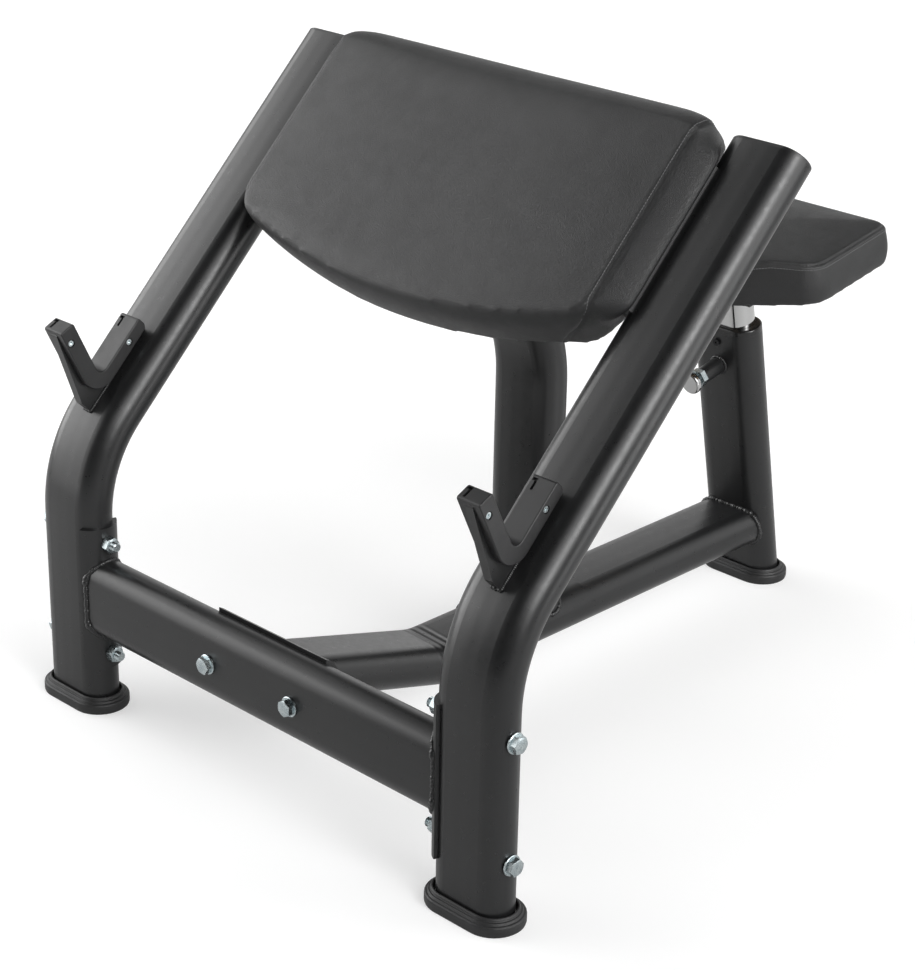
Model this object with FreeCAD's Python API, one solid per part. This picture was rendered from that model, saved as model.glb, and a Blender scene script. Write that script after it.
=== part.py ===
import FreeCAD, Part
import math
import os
from FreeCAD import Vector

# Driving sizes, in millimetres and degrees. X runs across, Y towards the seat, Z up from the floor.
# Lengths up the slope ("along") and square to it ("out") start where the uprights' axes bend.

# How far a cutting shape runs past what it cuts
overrun = 20.0

# Flat-oval tube used for the whole frame
tube_wide = 100.0
tube_thick = 50.0
tube_wall = 3.0

# Uprights
upright_spacing = 673.0
upright_bend_radius = 175.0
slope_angle = 45.0
upright_slope_length = 609.4
cap_thickness = 4.0
cap_plug_length = 18.0
cap_edge_radius = 1.5

# Rubber shoes
shoe_wide = 126.0
shoe_thick = 72.0
shoe_floor = 6.0
shoe_band_height = 13.0
shoe_step_height = 4.0
shoe_step_inset = 2.0
shoe_step_count = 3
shoe_edge_radius = 1.2

# Front crossbeam and the saddle plates
beam_height = 152.0
saddle_thickness = 5.0
saddle_length = 186.0
saddle_wrap_angle = 136.0
saddle_bolt_offset = 73.0
saddle_bend_gap = 3.0

# Upper crossbeam behind the pad
upper_beam_along = 476.4
upper_beam_half_length = 300.0
upper_beam_closed_end = 22.0
bracket_thickness = 7.0
bracket_wide = 50.0
bracket_long = 170.0
bracket_spacing = 260.0
pad_bolt_spacing = 136.0

# Frame bolts
bolt_radius = 6.0
bolt_hole_clearance = 0.5
bolt_head_flats = 18.0
bolt_head_height = 7.5
bolt_nut_height = 10.0
bolt_tail = 8.0
washer_radius = 12.0
washer_thickness = 2.5

# Spine
spine_height = 85.6
spine_bend_depth = 262.0
spine_bend_radius = 120.0
spine_bite = 10.0
spine_saddle_wide = 182.0
spine_saddle_edge_depth = 11.0
spine_bolt_spacing = 140.0

# Centre post
centre_post_depth = 434.0
centre_post_bend_radius = 175.0
centre_post_bend_angle = 20.0
centre_saddle_long = 138.0
centre_saddle_edge_height = 96.0

# Rear post and its collar; heights are measured along the post
rear_post_depth = 894.0
rear_post_lean = 11.4
rear_post_start = 11.0
rear_post_top = 388.0
collar_lip = 8.0
collar_sleeve_length = 38.0
collar_side_wall = 6.6
collar_face_wall = 1.6
collar_edge_radius = 3.0
collar_screw_drop = 15.2
collar_screw_radius = 3.0
collar_screw_head_radius = 5.0
collar_screw_head_height = 3.0
collar_screw_socket_flats = 3.0
collar_screw_socket_depth = 1.8

# Seat tube
seat_tube_wall = 2.5
seat_tube_end_margin = 38.0
slide_clearance = 0.4
guide_height = 12.0
guide_plug_length = 20.0
seat_travel = 150.0
seat_hole_count = 7

# Pull pin, across the rear post
pin_drop = 50.0
pin_radius = 5.0
pin_running_clearance = 0.05
pin_hole_clearance = 0.4
pin_tip_inset = 8.5
pin_tip_chamfer = 1.5
boss_radius = 11.0
boss_length = 37.0
lock_nut_flats = 22.0
lock_nut_height = 8.0
knob_radius = 15.0
knob_neck_radius = 8.0
knob_neck_length = 4.0
knob_gap = 3.5
knob_thickness = 9.0
knob_edge_radius = 3.0

# Seat; the gap under it is measured along the post, its own height square to the board,
# its depth from the post axis
seat_lowest_gap = 57.0
seat_tilt = 10.0
seat_half_wide = 152.0
seat_rear_depth = 157.0
seat_side_front_depth = 2.0
seat_nose_depth = -64.0
seat_nose_half_wide = 50.0
seat_rear_corner_radius = 15.0
seat_side_corner_radius = 46.0
seat_nose_corner_radius = 32.0
seat_side_height = 51.0
seat_bulge_height = 28.0
seat_crown = 16.0
seat_base_inset = 5.0
seat_seam_inset = 3.0
seat_over_inset = 9.0
seat_board_thickness = 15.0
seat_board_inset = 16.0
seat_board_corner_radius = 12.0
seat_plate_thickness = 5.0
seat_plate_wide = 140.0
seat_plate_long = 120.0
seat_plate_depth = 22.0
seat_screw_wide_spacing = 112.0
seat_screw_long_spacing = 92.0

# Small screws under the seat and behind the pad
board_bolt_radius = 4.0
board_bolt_clearance = 0.4
board_bolt_head_flats = 13.0
board_bolt_head_height = 5.3
board_bolt_bite = 12.0

# Arm pad, in the sloping frame
pad_back_out = -4.6
pad_bulge_height = 26.0
pad_side_height = 64.5
pad_crown = 3.0
pad_half_wide = 278.5
pad_below_beam = 175.5
pad_bottom_radius = 785.0
pad_corner_radius = 42.0
pad_above_beam = 147.5
pad_top_side_drop = 6.0
pad_top_roll_radius = 42.0
pad_back_roll_radius = 8.0
pad_roll_lift = 0.5
pad_base_inset = 3.5
pad_seam_inset = 2.5
pad_over_inset = 5.0
pad_board_thickness = 15.0
pad_board_inset = 18.0

# Bar rests, in the sloping frame
rest_vertex_along = 90.6
rest_vertex_rise = 23.9
rest_opening_angle = 70.4
rest_arm_length = 84.5
rest_notch_radius = 10.0
liner_wide = 33.0
liner_wall = 5.0
liner_outer_depth = 21.0
liner_inner_depth = 17.5
liner_heel_radius = 26.0
liner_tip_radius = 3.0
liner_end_radius = 8.0
liner_edge_radius = 1.5
hook_thickness = 12.0
hook_foot_along = 53.4
hook_heel_rise = 17.0
hook_heel_radius = 7.0
hook_tip_depth = 17.0
hook_tip_radius = 3.0
hook_sink = 6.0
liner_screw_outer_run = 65.0
liner_screw_outer_depth = 14.0
liner_screw_inner_run = 55.0
liner_screw_inner_depth = 7.5
liner_screw_radius = 2.0
liner_screw_head_radius = 3.6
liner_screw_head_height = 2.4
liner_screw_pocket_radius = 4.6
liner_screw_pocket_depth = 3.4
liner_screw_bite = 4.0
liner_screw_socket_flats = 3.0
liner_screw_socket_depth = 1.4
slot_long = 14.0
slot_short = 7.0
slot_wide = 3.5
slot_depth = 3.0
slot_margin = 4.0

# Shares and reaches that follow from the sizes above
X_AXIS = Vector(1, 0, 0)
Y_AXIS = Vector(0, 1, 0)
Z_AXIS = Vector(0, 0, 1)
sides = {"left": -1, "right": 1}
tube_round = tube_thick / 2
upright_x = upright_spacing / 2
upright_round_x = upright_x - (tube_wide - tube_thick) / 2
saddle_outer_radius = tube_round + saddle_thickness
upright_bend_tangent = upright_bend_radius * math.tan(math.radians(slope_angle / 2))
upright_straight_end = beam_height + saddle_length / 2 + saddle_bend_gap
upright_bend_height = upright_straight_end + upright_bend_tangent
pad_bottom_along = upper_beam_along - pad_below_beam
pad_top_along = upper_beam_along + pad_above_beam
pad_bulge_out = pad_back_out + pad_bulge_height
pad_seam_out = pad_back_out + pad_side_height
upper_beam_out = pad_back_out - bracket_thickness - tube_round
seat_height = rear_post_top + collar_lip + seat_lowest_gap
collar_screw_height = rear_post_top - collar_screw_drop
pin_height = rear_post_top - pin_drop
seat_tube_start = pin_height - seat_travel - seat_tube_end_margin
seat_tube_wide = tube_wide - 2 * (tube_wall + collar_side_wall + slide_clearance)
seat_tube_thick = tube_thick - 2 * (tube_wall + collar_face_wall + slide_clearance)
bolt_hole_radius = bolt_radius + bolt_hole_clearance
board_bolt_hole_radius = board_bolt_radius + board_bolt_clearance
pin_hole_radius = pin_radius + pin_hole_clearance


def slope_point(across, along, out):
    turn = math.radians(slope_angle)
    depth = along * math.cos(turn) - out * math.sin(turn)
    rise = along * math.sin(turn) + out * math.cos(turn)
    return Vector(across, depth, upright_bend_height + rise)


def post_point(across, height, forward):
    turn = math.radians(rear_post_lean)
    depth = rear_post_depth - height * math.sin(turn) - forward * math.cos(turn)
    return Vector(across, depth, height * math.cos(turn) - forward * math.sin(turn))


def seat_point(across, depth, height):
    turn = math.radians(seat_tilt)
    start = post_point(0, seat_height, 0)
    step = Vector(across, depth * math.cos(turn) - height * math.sin(turn), 0)
    step.z = depth * math.sin(turn) + height * math.cos(turn)
    return start + step


slope_up = slope_point(0, 1, 0) - slope_point(0, 0, 0)
slope_out = slope_point(0, 0, 1) - slope_point(0, 0, 0)
post_up = post_point(0, 1, 0) - post_point(0, 0, 0)
post_forward = post_point(0, 0, 1) - post_point(0, 0, 0)
seat_up = seat_point(0, 0, 1) - seat_point(0, 0, 0)


# A piece built along Z with its wide side on X is moved so that Z follows run and X follows wide
def set_at(shape, base, run, wide):
    turn = FreeCAD.Rotation(wide, run.cross(wide), run, "ZXY")
    moved = shape.copy()
    moved.Placement = FreeCAD.Placement(base, turn).multiply(shape.Placement)
    return moved


def oval(wide, thick, height):
    radius = thick / 2
    run = (wide - thick) / 2
    front_right = Vector(run, -radius, height)
    back_right = Vector(run, radius, height)
    back_left = Vector(-run, radius, height)
    front_left = Vector(-run, -radius, height)
    right = Part.Arc(front_right, Vector(run + radius, 0, height), back_right).toShape()
    left = Part.Arc(back_left, Vector(-run - radius, 0, height), front_left).toShape()
    back = Part.makeLine(back_right, back_left)
    front = Part.makeLine(front_left, front_right)
    return Part.Face(Part.Wire([right, back, left, front]))


def oval_bar(wide, thick, start, end):
    return oval(wide, thick, start).extrude(Vector(0, 0, end - start))


# Oval bar with its upper edge rounded
def rounded_bar(wide, thick, start, end, radius):
    bar = oval_bar(wide, thick, start, end)
    middle = (start + end) / 2
    rim = [edge for edge in bar.Edges if edge.BoundBox.ZMin > middle]
    return bar.makeFillet(radius, rim)


def oval_tube(wide, thick, wall, start, end):
    inside = oval_bar(wide - 2 * wall, thick - 2 * wall, start, end)
    return oval_bar(wide, thick, start, end).cut(inside)


# Oval bar that runs up, bends towards +Y for a positive angle, and runs on
def bent_bar(wide, thick, first, radius, angle, last):
    side = math.copysign(1, angle)
    centre = Vector(0, side * radius, first)
    axis = Vector(-side, 0, 0)
    lower = oval_bar(wide, thick, 0, first)
    elbow = oval(wide, thick, first).revolve(centre, axis, abs(angle))
    end = oval(wide, thick, first)
    end.rotate(centre, axis, abs(angle))
    turn = math.radians(angle)
    upper = end.extrude(Vector(0, math.sin(turn), math.cos(turn)) * last)
    return lower.fuse([elbow, upper]).removeSplitter()


def bent_tube(first, radius, angle, last):
    inner_wide = tube_wide - 2 * tube_wall
    inner_thick = tube_thick - 2 * tube_wall
    inside = bent_bar(inner_wide, inner_thick, first, radius, angle, last)
    return bent_bar(tube_wide, tube_thick, first, radius, angle, last).cut(inside)


def rod(radius, base, direction, length):
    return Part.makeCylinder(radius, length, base, direction)


def block(low, high):
    size = high - low
    return Part.makeBox(size.x, size.y, size.z, low)


def hexagon(flats, start, end):
    radius = flats / math.sqrt(3)
    corners = [Vector(radius, 0, start)]
    for step in range(1, 7):
        turn = math.radians(60 * step)
        corners.append(Vector(radius * math.cos(turn), radius * math.sin(turn), start))
    return Part.Face(Part.makePolygon(corners)).extrude(Vector(0, 0, end - start))


# Bolt along Z with the underside of its head at zero
def hex_bolt(radius, length, flats, head_height):
    return hexagon(flats, -head_height, 0).fuse(rod(radius, Vector(0, 0, 0), Z_AXIS, length)).removeSplitter()


def hex_nut(flats, height, bore):
    return hexagon(flats, 0, height).cut(rod(bore, Vector(0, 0, 0), Z_AXIS, height))


def washer():
    ring = rod(washer_radius, Vector(0, 0, 0), Z_AXIS, washer_thickness)
    return ring.cut(rod(bolt_hole_radius, Vector(0, 0, 0), Z_AXIS, washer_thickness))


# Closed outline through corners, each with its own rounding radius, in the plane Z = height
def rounded_outline(corners, radii, height):
    count = len(corners)
    arcs = []
    for number, (corner, radius) in enumerate(zip(corners, radii)):
        before = Vector(*corners[number - 1], 0) - Vector(*corner, 0)
        after = Vector(*corners[(number + 1) % count], 0) - Vector(*corner, 0)
        before.normalize()
        after.normalize()
        half = before.getAngle(after) / 2
        middle = before + after
        middle.normalize()
        start = Vector(*corner, height) + before * (radius / math.tan(half))
        end = Vector(*corner, height) + after * (radius / math.tan(half))
        crest = Vector(*corner, height) + middle * (radius / math.sin(half) - radius)
        arcs.append((start, crest, end))
    edges = []
    for number, (start, crest, end) in enumerate(arcs):
        if (end - start).Length > 0:
            edges.append(Part.Arc(start, crest, end).toShape())
        following = arcs[(number + 1) % count][0]
        if (following - end).Length > 0:
            edges.append(Part.makeLine(end, following))
    return Part.Wire(edges)


# The same corners moved inwards; the corners run anticlockwise
def inset_corners(corners, inset):
    moved = []
    count = len(corners)
    for number, corner in enumerate(corners):
        before = Vector(*corner, 0) - Vector(*corners[number - 1], 0)
        after = Vector(*corners[(number + 1) % count], 0) - Vector(*corner, 0)
        before.normalize()
        after.normalize()
        lean = Z_AXIS.cross(before) + Z_AXIS.cross(after)
        lean.normalize()
        reach = inset / lean.dot(Z_AXIS.cross(after))
        moved.append((corner[0] + lean.x * reach, corner[1] + lean.y * reach))
    return moved


def plate(outline, height):
    return Part.Face(outline).extrude(Vector(0, 0, height))


# Frame tubes
def upright_blank(tube, side):
    first = upright_straight_end - shoe_floor
    last = upright_slope_length - upright_bend_tangent
    if tube:
        bar = bent_tube(first, upright_bend_radius, slope_angle, last)
    else:
        bar = bent_bar(tube_wide, tube_thick, first, upright_bend_radius, slope_angle, last)
    return bar.translated(Vector(side * upright_x, 0, shoe_floor))


def saddle_bolt_points(side, across):
    heights = (beam_height - saddle_bolt_offset, beam_height + saddle_bolt_offset)
    return [Vector(side * across, 0, height) for height in heights]


def upright(side):
    tube = upright_blank(True, side)
    for point in saddle_bolt_points(side, upright_x - tube_wide / 2):
        tube = tube.cut(rod(bolt_hole_radius, point, X_AXIS * side, tube_wide))
    return tube


def upright_cap(side):
    plug_wide = tube_wide - 2 * tube_wall
    plug_thick = tube_thick - 2 * tube_wall
    lid = rounded_bar(tube_wide, tube_thick, 0, cap_thickness, cap_edge_radius)
    cap = lid.fuse(oval_bar(plug_wide, plug_thick, -cap_plug_length, 0))
    return set_at(cap, slope_point(side * upright_x, upright_slope_length, 0), slope_up, X_AXIS)


def shoe(across, depth, tube):
    tiers = []
    for step in range(shoe_step_count + 1):
        inset = 2 * step * shoe_step_inset
        top = shoe_band_height + step * shoe_step_height
        tiers.append(rounded_bar(shoe_wide - inset, shoe_thick - inset, 0, top, shoe_edge_radius))
    body = tiers[0].fuse(tiers[1:]).removeSplitter()
    return body.translated(Vector(across, depth, 0)).cut(tube)


# Curved plate round one half of a tube, its middle facing +X, its length along Z
def saddle_shell():
    base = Vector(0, 0, -saddle_length / 2)
    shell = Part.makeCylinder(saddle_outer_radius, saddle_length, base, Z_AXIS, saddle_wrap_angle)
    shell.rotate(Vector(0, 0, 0), Z_AXIS, -saddle_wrap_angle / 2)
    return shell.cut(rod(tube_round, base, Z_AXIS, saddle_length))


def crossbeam_saddle(side):
    saddle = set_at(saddle_shell(), Vector(side * upright_round_x, 0, beam_height), Z_AXIS, X_AXIS * -side)
    for point in saddle_bolt_points(side, upright_x):
        saddle = saddle.cut(rod(bolt_hole_radius, point, X_AXIS * -side, tube_wide))
    return saddle


def upper_saddle(side):
    base = slope_point(side * upright_round_x, upper_beam_along, 0)
    return set_at(saddle_shell(), base, slope_up, X_AXIS * -side)


def spine_bolt_points(depth):
    return [Vector(side * spine_bolt_spacing / 2, depth, beam_height) for side in (-1, 1)]


def front_crossbeam():
    tube = oval_tube(tube_wide, tube_thick, tube_wall, -upright_round_x, upright_round_x)
    beam = set_at(tube, Vector(0, 0, beam_height), X_AXIS, Z_AXIS)
    for side in sides.values():
        base = Vector(side * upright_round_x, 0, 0)
        beam = beam.cut(rod(saddle_outer_radius, base, Z_AXIS, upright_bend_height))
    for point in spine_bolt_points(-tube_thick):
        beam = beam.cut(rod(bolt_hole_radius, point, Y_AXIS, 2 * tube_thick))
    return beam


def upper_crossbeam_core():
    core = oval_bar(tube_wide, tube_thick, -upper_beam_half_length, upper_beam_half_length)
    return set_at(core, slope_point(0, upper_beam_along, upper_beam_out), X_AXIS, slope_up)


def upper_crossbeam():
    hollow_half = upper_beam_half_length - upper_beam_closed_end
    inside = oval_bar(tube_wide - 2 * tube_wall, tube_thick - 2 * tube_wall, -hollow_half, hollow_half)
    inside = set_at(inside, slope_point(0, upper_beam_along, upper_beam_out), X_AXIS, slope_up)
    beam = upper_crossbeam_core().cut(inside)
    for side in sides.values():
        base = slope_point(side * upright_round_x, 0, 0)
        beam = beam.cut(rod(saddle_outer_radius, base, slope_up, upright_slope_length))
    return beam


def saddle_bolts(side):
    outer = upright_x + tube_wide / 2 + washer_thickness
    length = washer_thickness + tube_wide + saddle_thickness + bolt_nut_height + bolt_tail
    bolt = hex_bolt(bolt_radius, length, bolt_head_flats, bolt_head_height)
    return [set_at(bolt, point, X_AXIS * -side, Z_AXIS) for point in saddle_bolt_points(side, outer)]


def saddle_washers(side):
    points = saddle_bolt_points(side, upright_x + tube_wide / 2)
    return [set_at(washer(), point, X_AXIS * side, Z_AXIS) for point in points]


def saddle_nuts(side):
    points = saddle_bolt_points(side, upright_x - tube_wide / 2 - saddle_thickness)
    nut = hex_nut(bolt_head_flats, bolt_nut_height, bolt_radius)
    return [set_at(nut, point, X_AXIS * -side, Z_AXIS) for point in points]


# Spine, its front saddle and their bolts
def beam_sleeve_core():
    wide = tube_wide + 2 * saddle_thickness
    thick = tube_thick + 2 * saddle_thickness
    core = oval_bar(wide, thick, -spine_saddle_wide / 2, spine_saddle_wide / 2)
    return set_at(core, Vector(0, 0, beam_height), X_AXIS, Z_AXIS)


def spine_front_saddle():
    beam = oval_bar(tube_wide, tube_thick, -upright_round_x, upright_round_x)
    shell = beam_sleeve_core().cut(set_at(beam, Vector(0, 0, beam_height), X_AXIS, Z_AXIS))
    low = Vector(-spine_saddle_wide, spine_saddle_edge_depth, 0)
    rear = block(low, Vector(spine_saddle_wide, tube_wide, upright_bend_height))
    saddle = shell.common(rear)
    for point in spine_bolt_points(0):
        saddle = saddle.cut(rod(bolt_hole_radius, point, Y_AXIS, tube_wide))
    return saddle


def spine_blank(tube):
    rear_depth = post_point(0, spine_height / math.cos(math.radians(rear_post_lean)), 0).y - spine_bite
    rise = beam_height - spine_height
    angle = math.degrees(math.atan(rise / (spine_bend_depth - tube_round - saddle_thickness)))
    tangent = spine_bend_radius * math.tan(math.radians(angle / 2))
    first = rear_depth - spine_bend_depth - tangent
    last = spine_bend_depth / math.cos(math.radians(angle)) - tangent
    if tube:
        bar = bent_tube(first, spine_bend_radius, angle, last)
    else:
        bar = bent_bar(tube_wide, tube_thick, first, spine_bend_radius, angle, last)
    return set_at(bar, Vector(0, rear_depth, spine_height), Y_AXIS * -1, X_AXIS)


def post_front_block():
    low = Vector(-tube_wide, -tube_round, rear_post_start)
    behind = block(low, Vector(tube_wide, tube_round, rear_post_top))
    return set_at(behind, post_point(0, 0, 0), post_up, X_AXIS)


def spine():
    return spine_blank(True).cut(beam_sleeve_core()).cut(post_front_block())


def spine_bolts():
    length = washer_thickness + tube_thick + saddle_thickness + bolt_nut_height + bolt_tail
    bolt = hex_bolt(bolt_radius, length, bolt_head_flats, bolt_head_height)
    points = spine_bolt_points(-tube_round - washer_thickness)
    return [set_at(bolt, point, Y_AXIS, Z_AXIS) for point in points]


def spine_washers():
    return [set_at(washer(), point, Y_AXIS * -1, Z_AXIS) for point in spine_bolt_points(-tube_round)]


def spine_nuts():
    nut = hex_nut(bolt_head_flats, bolt_nut_height, bolt_radius)
    points = spine_bolt_points(tube_round + saddle_thickness)
    return [set_at(nut, point, Y_AXIS, Z_AXIS) for point in points]


# Centre post
def spine_sleeve_core():
    wide = tube_wide + 2 * saddle_thickness
    thick = tube_thick + 2 * saddle_thickness
    core = oval_bar(wide, thick, -centre_saddle_long / 2, centre_saddle_long / 2)
    return set_at(core, Vector(0, centre_post_depth, spine_height), Y_AXIS, X_AXIS)


def centre_post_saddle():
    shell = spine_sleeve_core().cut(spine_blank(False))
    low = Vector(-tube_wide, 0, centre_saddle_edge_height)
    return shell.common(block(low, Vector(tube_wide, rear_post_depth, upright_bend_height)))


def centre_post():
    turn = math.radians(centre_post_bend_angle)
    aim = slope_point(0, upper_beam_along, upper_beam_out)
    bend_rise = centre_post_bend_radius * math.sin(turn)
    bend_shift = centre_post_bend_radius * (1 - math.cos(turn))
    straight_shift = centre_post_depth - bend_shift - aim.y
    first = aim.z - bend_rise - straight_shift / math.tan(turn) - spine_height
    last = straight_shift / math.sin(turn)
    post = bent_tube(first, centre_post_bend_radius, -centre_post_bend_angle, last)
    post.translate(Vector(0, centre_post_depth, spine_height))
    return post.cut(spine_sleeve_core()).cut(upper_crossbeam_core())


# Rear post, collar and pull pin
def rear_post_core():
    core = oval_bar(tube_wide, tube_thick, rear_post_start, rear_post_top)
    return set_at(core, post_point(0, 0, 0), post_up, X_AXIS)


def rear_post():
    tube = oval_tube(tube_wide, tube_thick, tube_wall, rear_post_start, rear_post_top)
    post = set_at(tube, post_point(0, 0, 0), post_up, X_AXIS)
    post = post.cut(rod(pin_hole_radius, post_point(0, pin_height, 0), post_forward, tube_thick))
    return post.cut(collar_screw_hole())


def collar_screw_hole():
    return rod(collar_screw_radius, post_point(0, collar_screw_height, 0), post_forward, tube_thick)


def post_collar():
    opening_wide = seat_tube_wide + 2 * slide_clearance
    opening_thick = seat_tube_thick + 2 * slide_clearance
    lip = rounded_bar(tube_wide, tube_thick, rear_post_top, rear_post_top + collar_lip, collar_edge_radius)
    sleeve_start = rear_post_top - collar_sleeve_length
    sleeve = oval_bar(tube_wide - 2 * tube_wall, tube_thick - 2 * tube_wall, sleeve_start, rear_post_top)
    opening = oval_bar(opening_wide, opening_thick, 0, rear_post_top + collar_lip)
    collar = set_at(lip.fuse(sleeve).cut(opening), post_point(0, 0, 0), post_up, X_AXIS)
    return collar.cut(collar_screw_hole())


def collar_screw():
    reach = tube_round - seat_tube_thick / 2 - slide_clearance
    head = rod(collar_screw_head_radius, Vector(0, 0, 0), Z_AXIS, collar_screw_head_height)
    shank = rod(collar_screw_radius, Vector(0, 0, -reach), Z_AXIS, reach)
    socket_floor = collar_screw_head_height - collar_screw_socket_depth
    socket = hexagon(collar_screw_socket_flats, socket_floor, collar_screw_head_height)
    screw = head.fuse(shank).cut(socket)
    return set_at(screw, post_point(0, collar_screw_height, tube_round), post_forward, X_AXIS)


def pin_boss():
    base = post_point(0, pin_height, tube_round)
    boss = rod(boss_radius, base, post_forward, boss_length)
    return boss.cut(rod(pin_radius + pin_running_clearance, base, post_forward, boss_length))


def pin_lock_nut():
    nut = hex_nut(lock_nut_flats, lock_nut_height, pin_hole_radius)
    return set_at(nut, post_point(0, pin_height, tube_round + boss_length), post_forward, X_AXIS)


def knob_start():
    return tube_round + boss_length + lock_nut_height + knob_gap


def plunger_pin():
    tip = seat_tube_thick / 2 - seat_tube_wall - pin_tip_inset
    length = knob_start() + knob_neck_length - tip
    pin = rod(pin_radius, Vector(0, 0, tip), Z_AXIS, length)
    end = [edge for edge in pin.Edges if edge.BoundBox.ZMax < tip + pin_tip_chamfer]
    pin = pin.makeChamfer(pin_tip_chamfer, end)
    return set_at(pin, post_point(0, pin_height, 0), post_forward, X_AXIS)


def pin_knob():
    start = Vector(0, 0, knob_start())
    neck = rod(knob_neck_radius, start, Z_AXIS, knob_neck_length)
    disc = rod(knob_radius, start + Z_AXIS * knob_neck_length, Z_AXIS, knob_thickness)
    rims = [edge for edge in disc.Edges if edge.BoundBox.ZLength < knob_edge_radius]
    disc = disc.makeFillet(knob_edge_radius, rims)
    knob = neck.fuse(disc).cut(rod(pin_radius, start, Z_AXIS, knob_neck_length))
    return set_at(knob.removeSplitter(), post_point(0, pin_height, 0), post_forward, X_AXIS)


# Seat tube, plate, board and cushion
def seat_tube():
    tube = oval_tube(seat_tube_wide, seat_tube_thick, seat_tube_wall, seat_tube_start, seat_height)
    tube = set_at(tube, post_point(0, 0, 0), post_up, X_AXIS)
    pitch = seat_travel / (seat_hole_count - 1)
    for number in range(seat_hole_count):
        hole = post_point(0, pin_height - number * pitch, 0)
        tube = tube.cut(rod(pin_hole_radius, hole, post_forward, tube_thick))
    low = Vector(-seat_tube_wide, -seat_tube_wide, -seat_plate_thickness)
    above = block(low, Vector(seat_tube_wide, seat_tube_wide, seat_tube_wide))
    return tube.cut(set_at(above, seat_point(0, 0, 0), seat_up, X_AXIS))


def seat_tube_guide():
    flange_wide = tube_wide - 2 * tube_wall - 2 * slide_clearance
    flange_thick = tube_thick - 2 * tube_wall - 2 * slide_clearance
    plug_wide = seat_tube_wide - 2 * seat_tube_wall
    plug_thick = seat_tube_thick - 2 * seat_tube_wall
    flange = oval_bar(flange_wide, flange_thick, seat_tube_start - guide_height, seat_tube_start)
    plug = oval_bar(plug_wide, plug_thick, seat_tube_start, seat_tube_start + guide_plug_length)
    return set_at(flange.fuse(plug), post_point(0, 0, 0), post_up, X_AXIS)


def seat_screw_points(height):
    points = []
    for across in (-seat_screw_wide_spacing / 2, seat_screw_wide_spacing / 2):
        for step in (-seat_screw_long_spacing / 2, seat_screw_long_spacing / 2):
            points.append(seat_point(across, seat_plate_depth + step, height))
    return points


def seat_plate():
    low = Vector(-seat_plate_wide / 2, seat_plate_depth - seat_plate_long / 2, -seat_plate_thickness)
    high = Vector(seat_plate_wide / 2, seat_plate_depth + seat_plate_long / 2, 0)
    flat = set_at(block(low, high), seat_point(0, 0, 0), seat_up, X_AXIS)
    for point in seat_screw_points(-seat_plate_thickness):
        flat = flat.cut(rod(board_bolt_hole_radius, point, seat_up, seat_plate_thickness))
    return flat


seat_corners = [
    (seat_half_wide, seat_side_front_depth),
    (seat_half_wide, seat_rear_depth),
    (-seat_half_wide, seat_rear_depth),
    (-seat_half_wide, seat_side_front_depth),
    (-seat_nose_half_wide, seat_nose_depth),
    (seat_nose_half_wide, seat_nose_depth),
]
seat_radii = [
    seat_side_corner_radius,
    seat_rear_corner_radius,
    seat_rear_corner_radius,
    seat_side_corner_radius,
    seat_nose_corner_radius,
    seat_nose_corner_radius,
]


def seat_outline(inset, height):
    radii = [radius - inset for radius in seat_radii]
    return rounded_outline(inset_corners(seat_corners, inset), radii, height)


def seat_board_blank():
    radii = [seat_board_corner_radius] * len(seat_corners)
    outline = rounded_outline(inset_corners(seat_corners, seat_board_inset), radii, 0)
    return set_at(plate(outline, seat_board_thickness), seat_point(0, 0, 0), seat_up, X_AXIS)


def seat_board():
    board = seat_board_blank()
    for point in seat_screw_points(0):
        board = board.cut(rod(board_bolt_hole_radius, point, seat_up, board_bolt_bite))
    return board


# Slab with an arched top, pulled along Y, that runs past the span and both ends
def arched_slab(half_span, side_height, crown, start, end):
    half = half_span + overrun
    first = start - overrun
    left = Vector(-half, first, side_height)
    right = Vector(half, first, side_height)
    rise = Part.Arc(left, Vector(0, first, side_height + crown), right).toShape()
    walls = Part.makePolygon([right, Vector(half, first, -overrun), Vector(-half, first, -overrun), left])
    face = Part.Face(Part.Wire([rise, *walls.Edges]))
    return face.extrude(Vector(0, end - start + 2 * overrun, 0))


def seat_cushion():
    top = seat_side_height + 2 * seat_crown
    rings = [
        seat_outline(seat_base_inset, 0),
        seat_outline(0, seat_bulge_height),
        seat_outline(seat_seam_inset, seat_side_height),
        seat_outline(seat_over_inset, top),
    ]
    body = Part.makeLoft(rings, True, False)
    middle = (seat_rear_depth + seat_nose_depth) / 2
    half_long = (seat_rear_depth - seat_nose_depth) / 2
    across = arched_slab(seat_half_wide, seat_side_height, seat_crown, seat_nose_depth, seat_rear_depth)
    along = arched_slab(half_long, seat_side_height, seat_crown, -seat_half_wide, seat_half_wide)
    along.rotate(Vector(0, 0, 0), Z_AXIS, 90)
    along.translate(Vector(0, middle, 0))
    body = body.common(across).common(along)
    cushion = set_at(body, seat_point(0, 0, 0), seat_up, X_AXIS)
    return cushion.cut(seat_board_blank())


def seat_screws():
    length = seat_plate_thickness + board_bolt_bite
    screw = hex_bolt(board_bolt_radius, length, board_bolt_head_flats, board_bolt_head_height)
    return [set_at(screw, point, seat_up, X_AXIS) for point in seat_screw_points(-seat_plate_thickness)]


# Arm pad, its board and brackets, built in the sloping frame and turned into place
def onto_slope(shape):
    return set_at(shape, slope_point(0, 0, 0), slope_out, X_AXIS)


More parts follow.
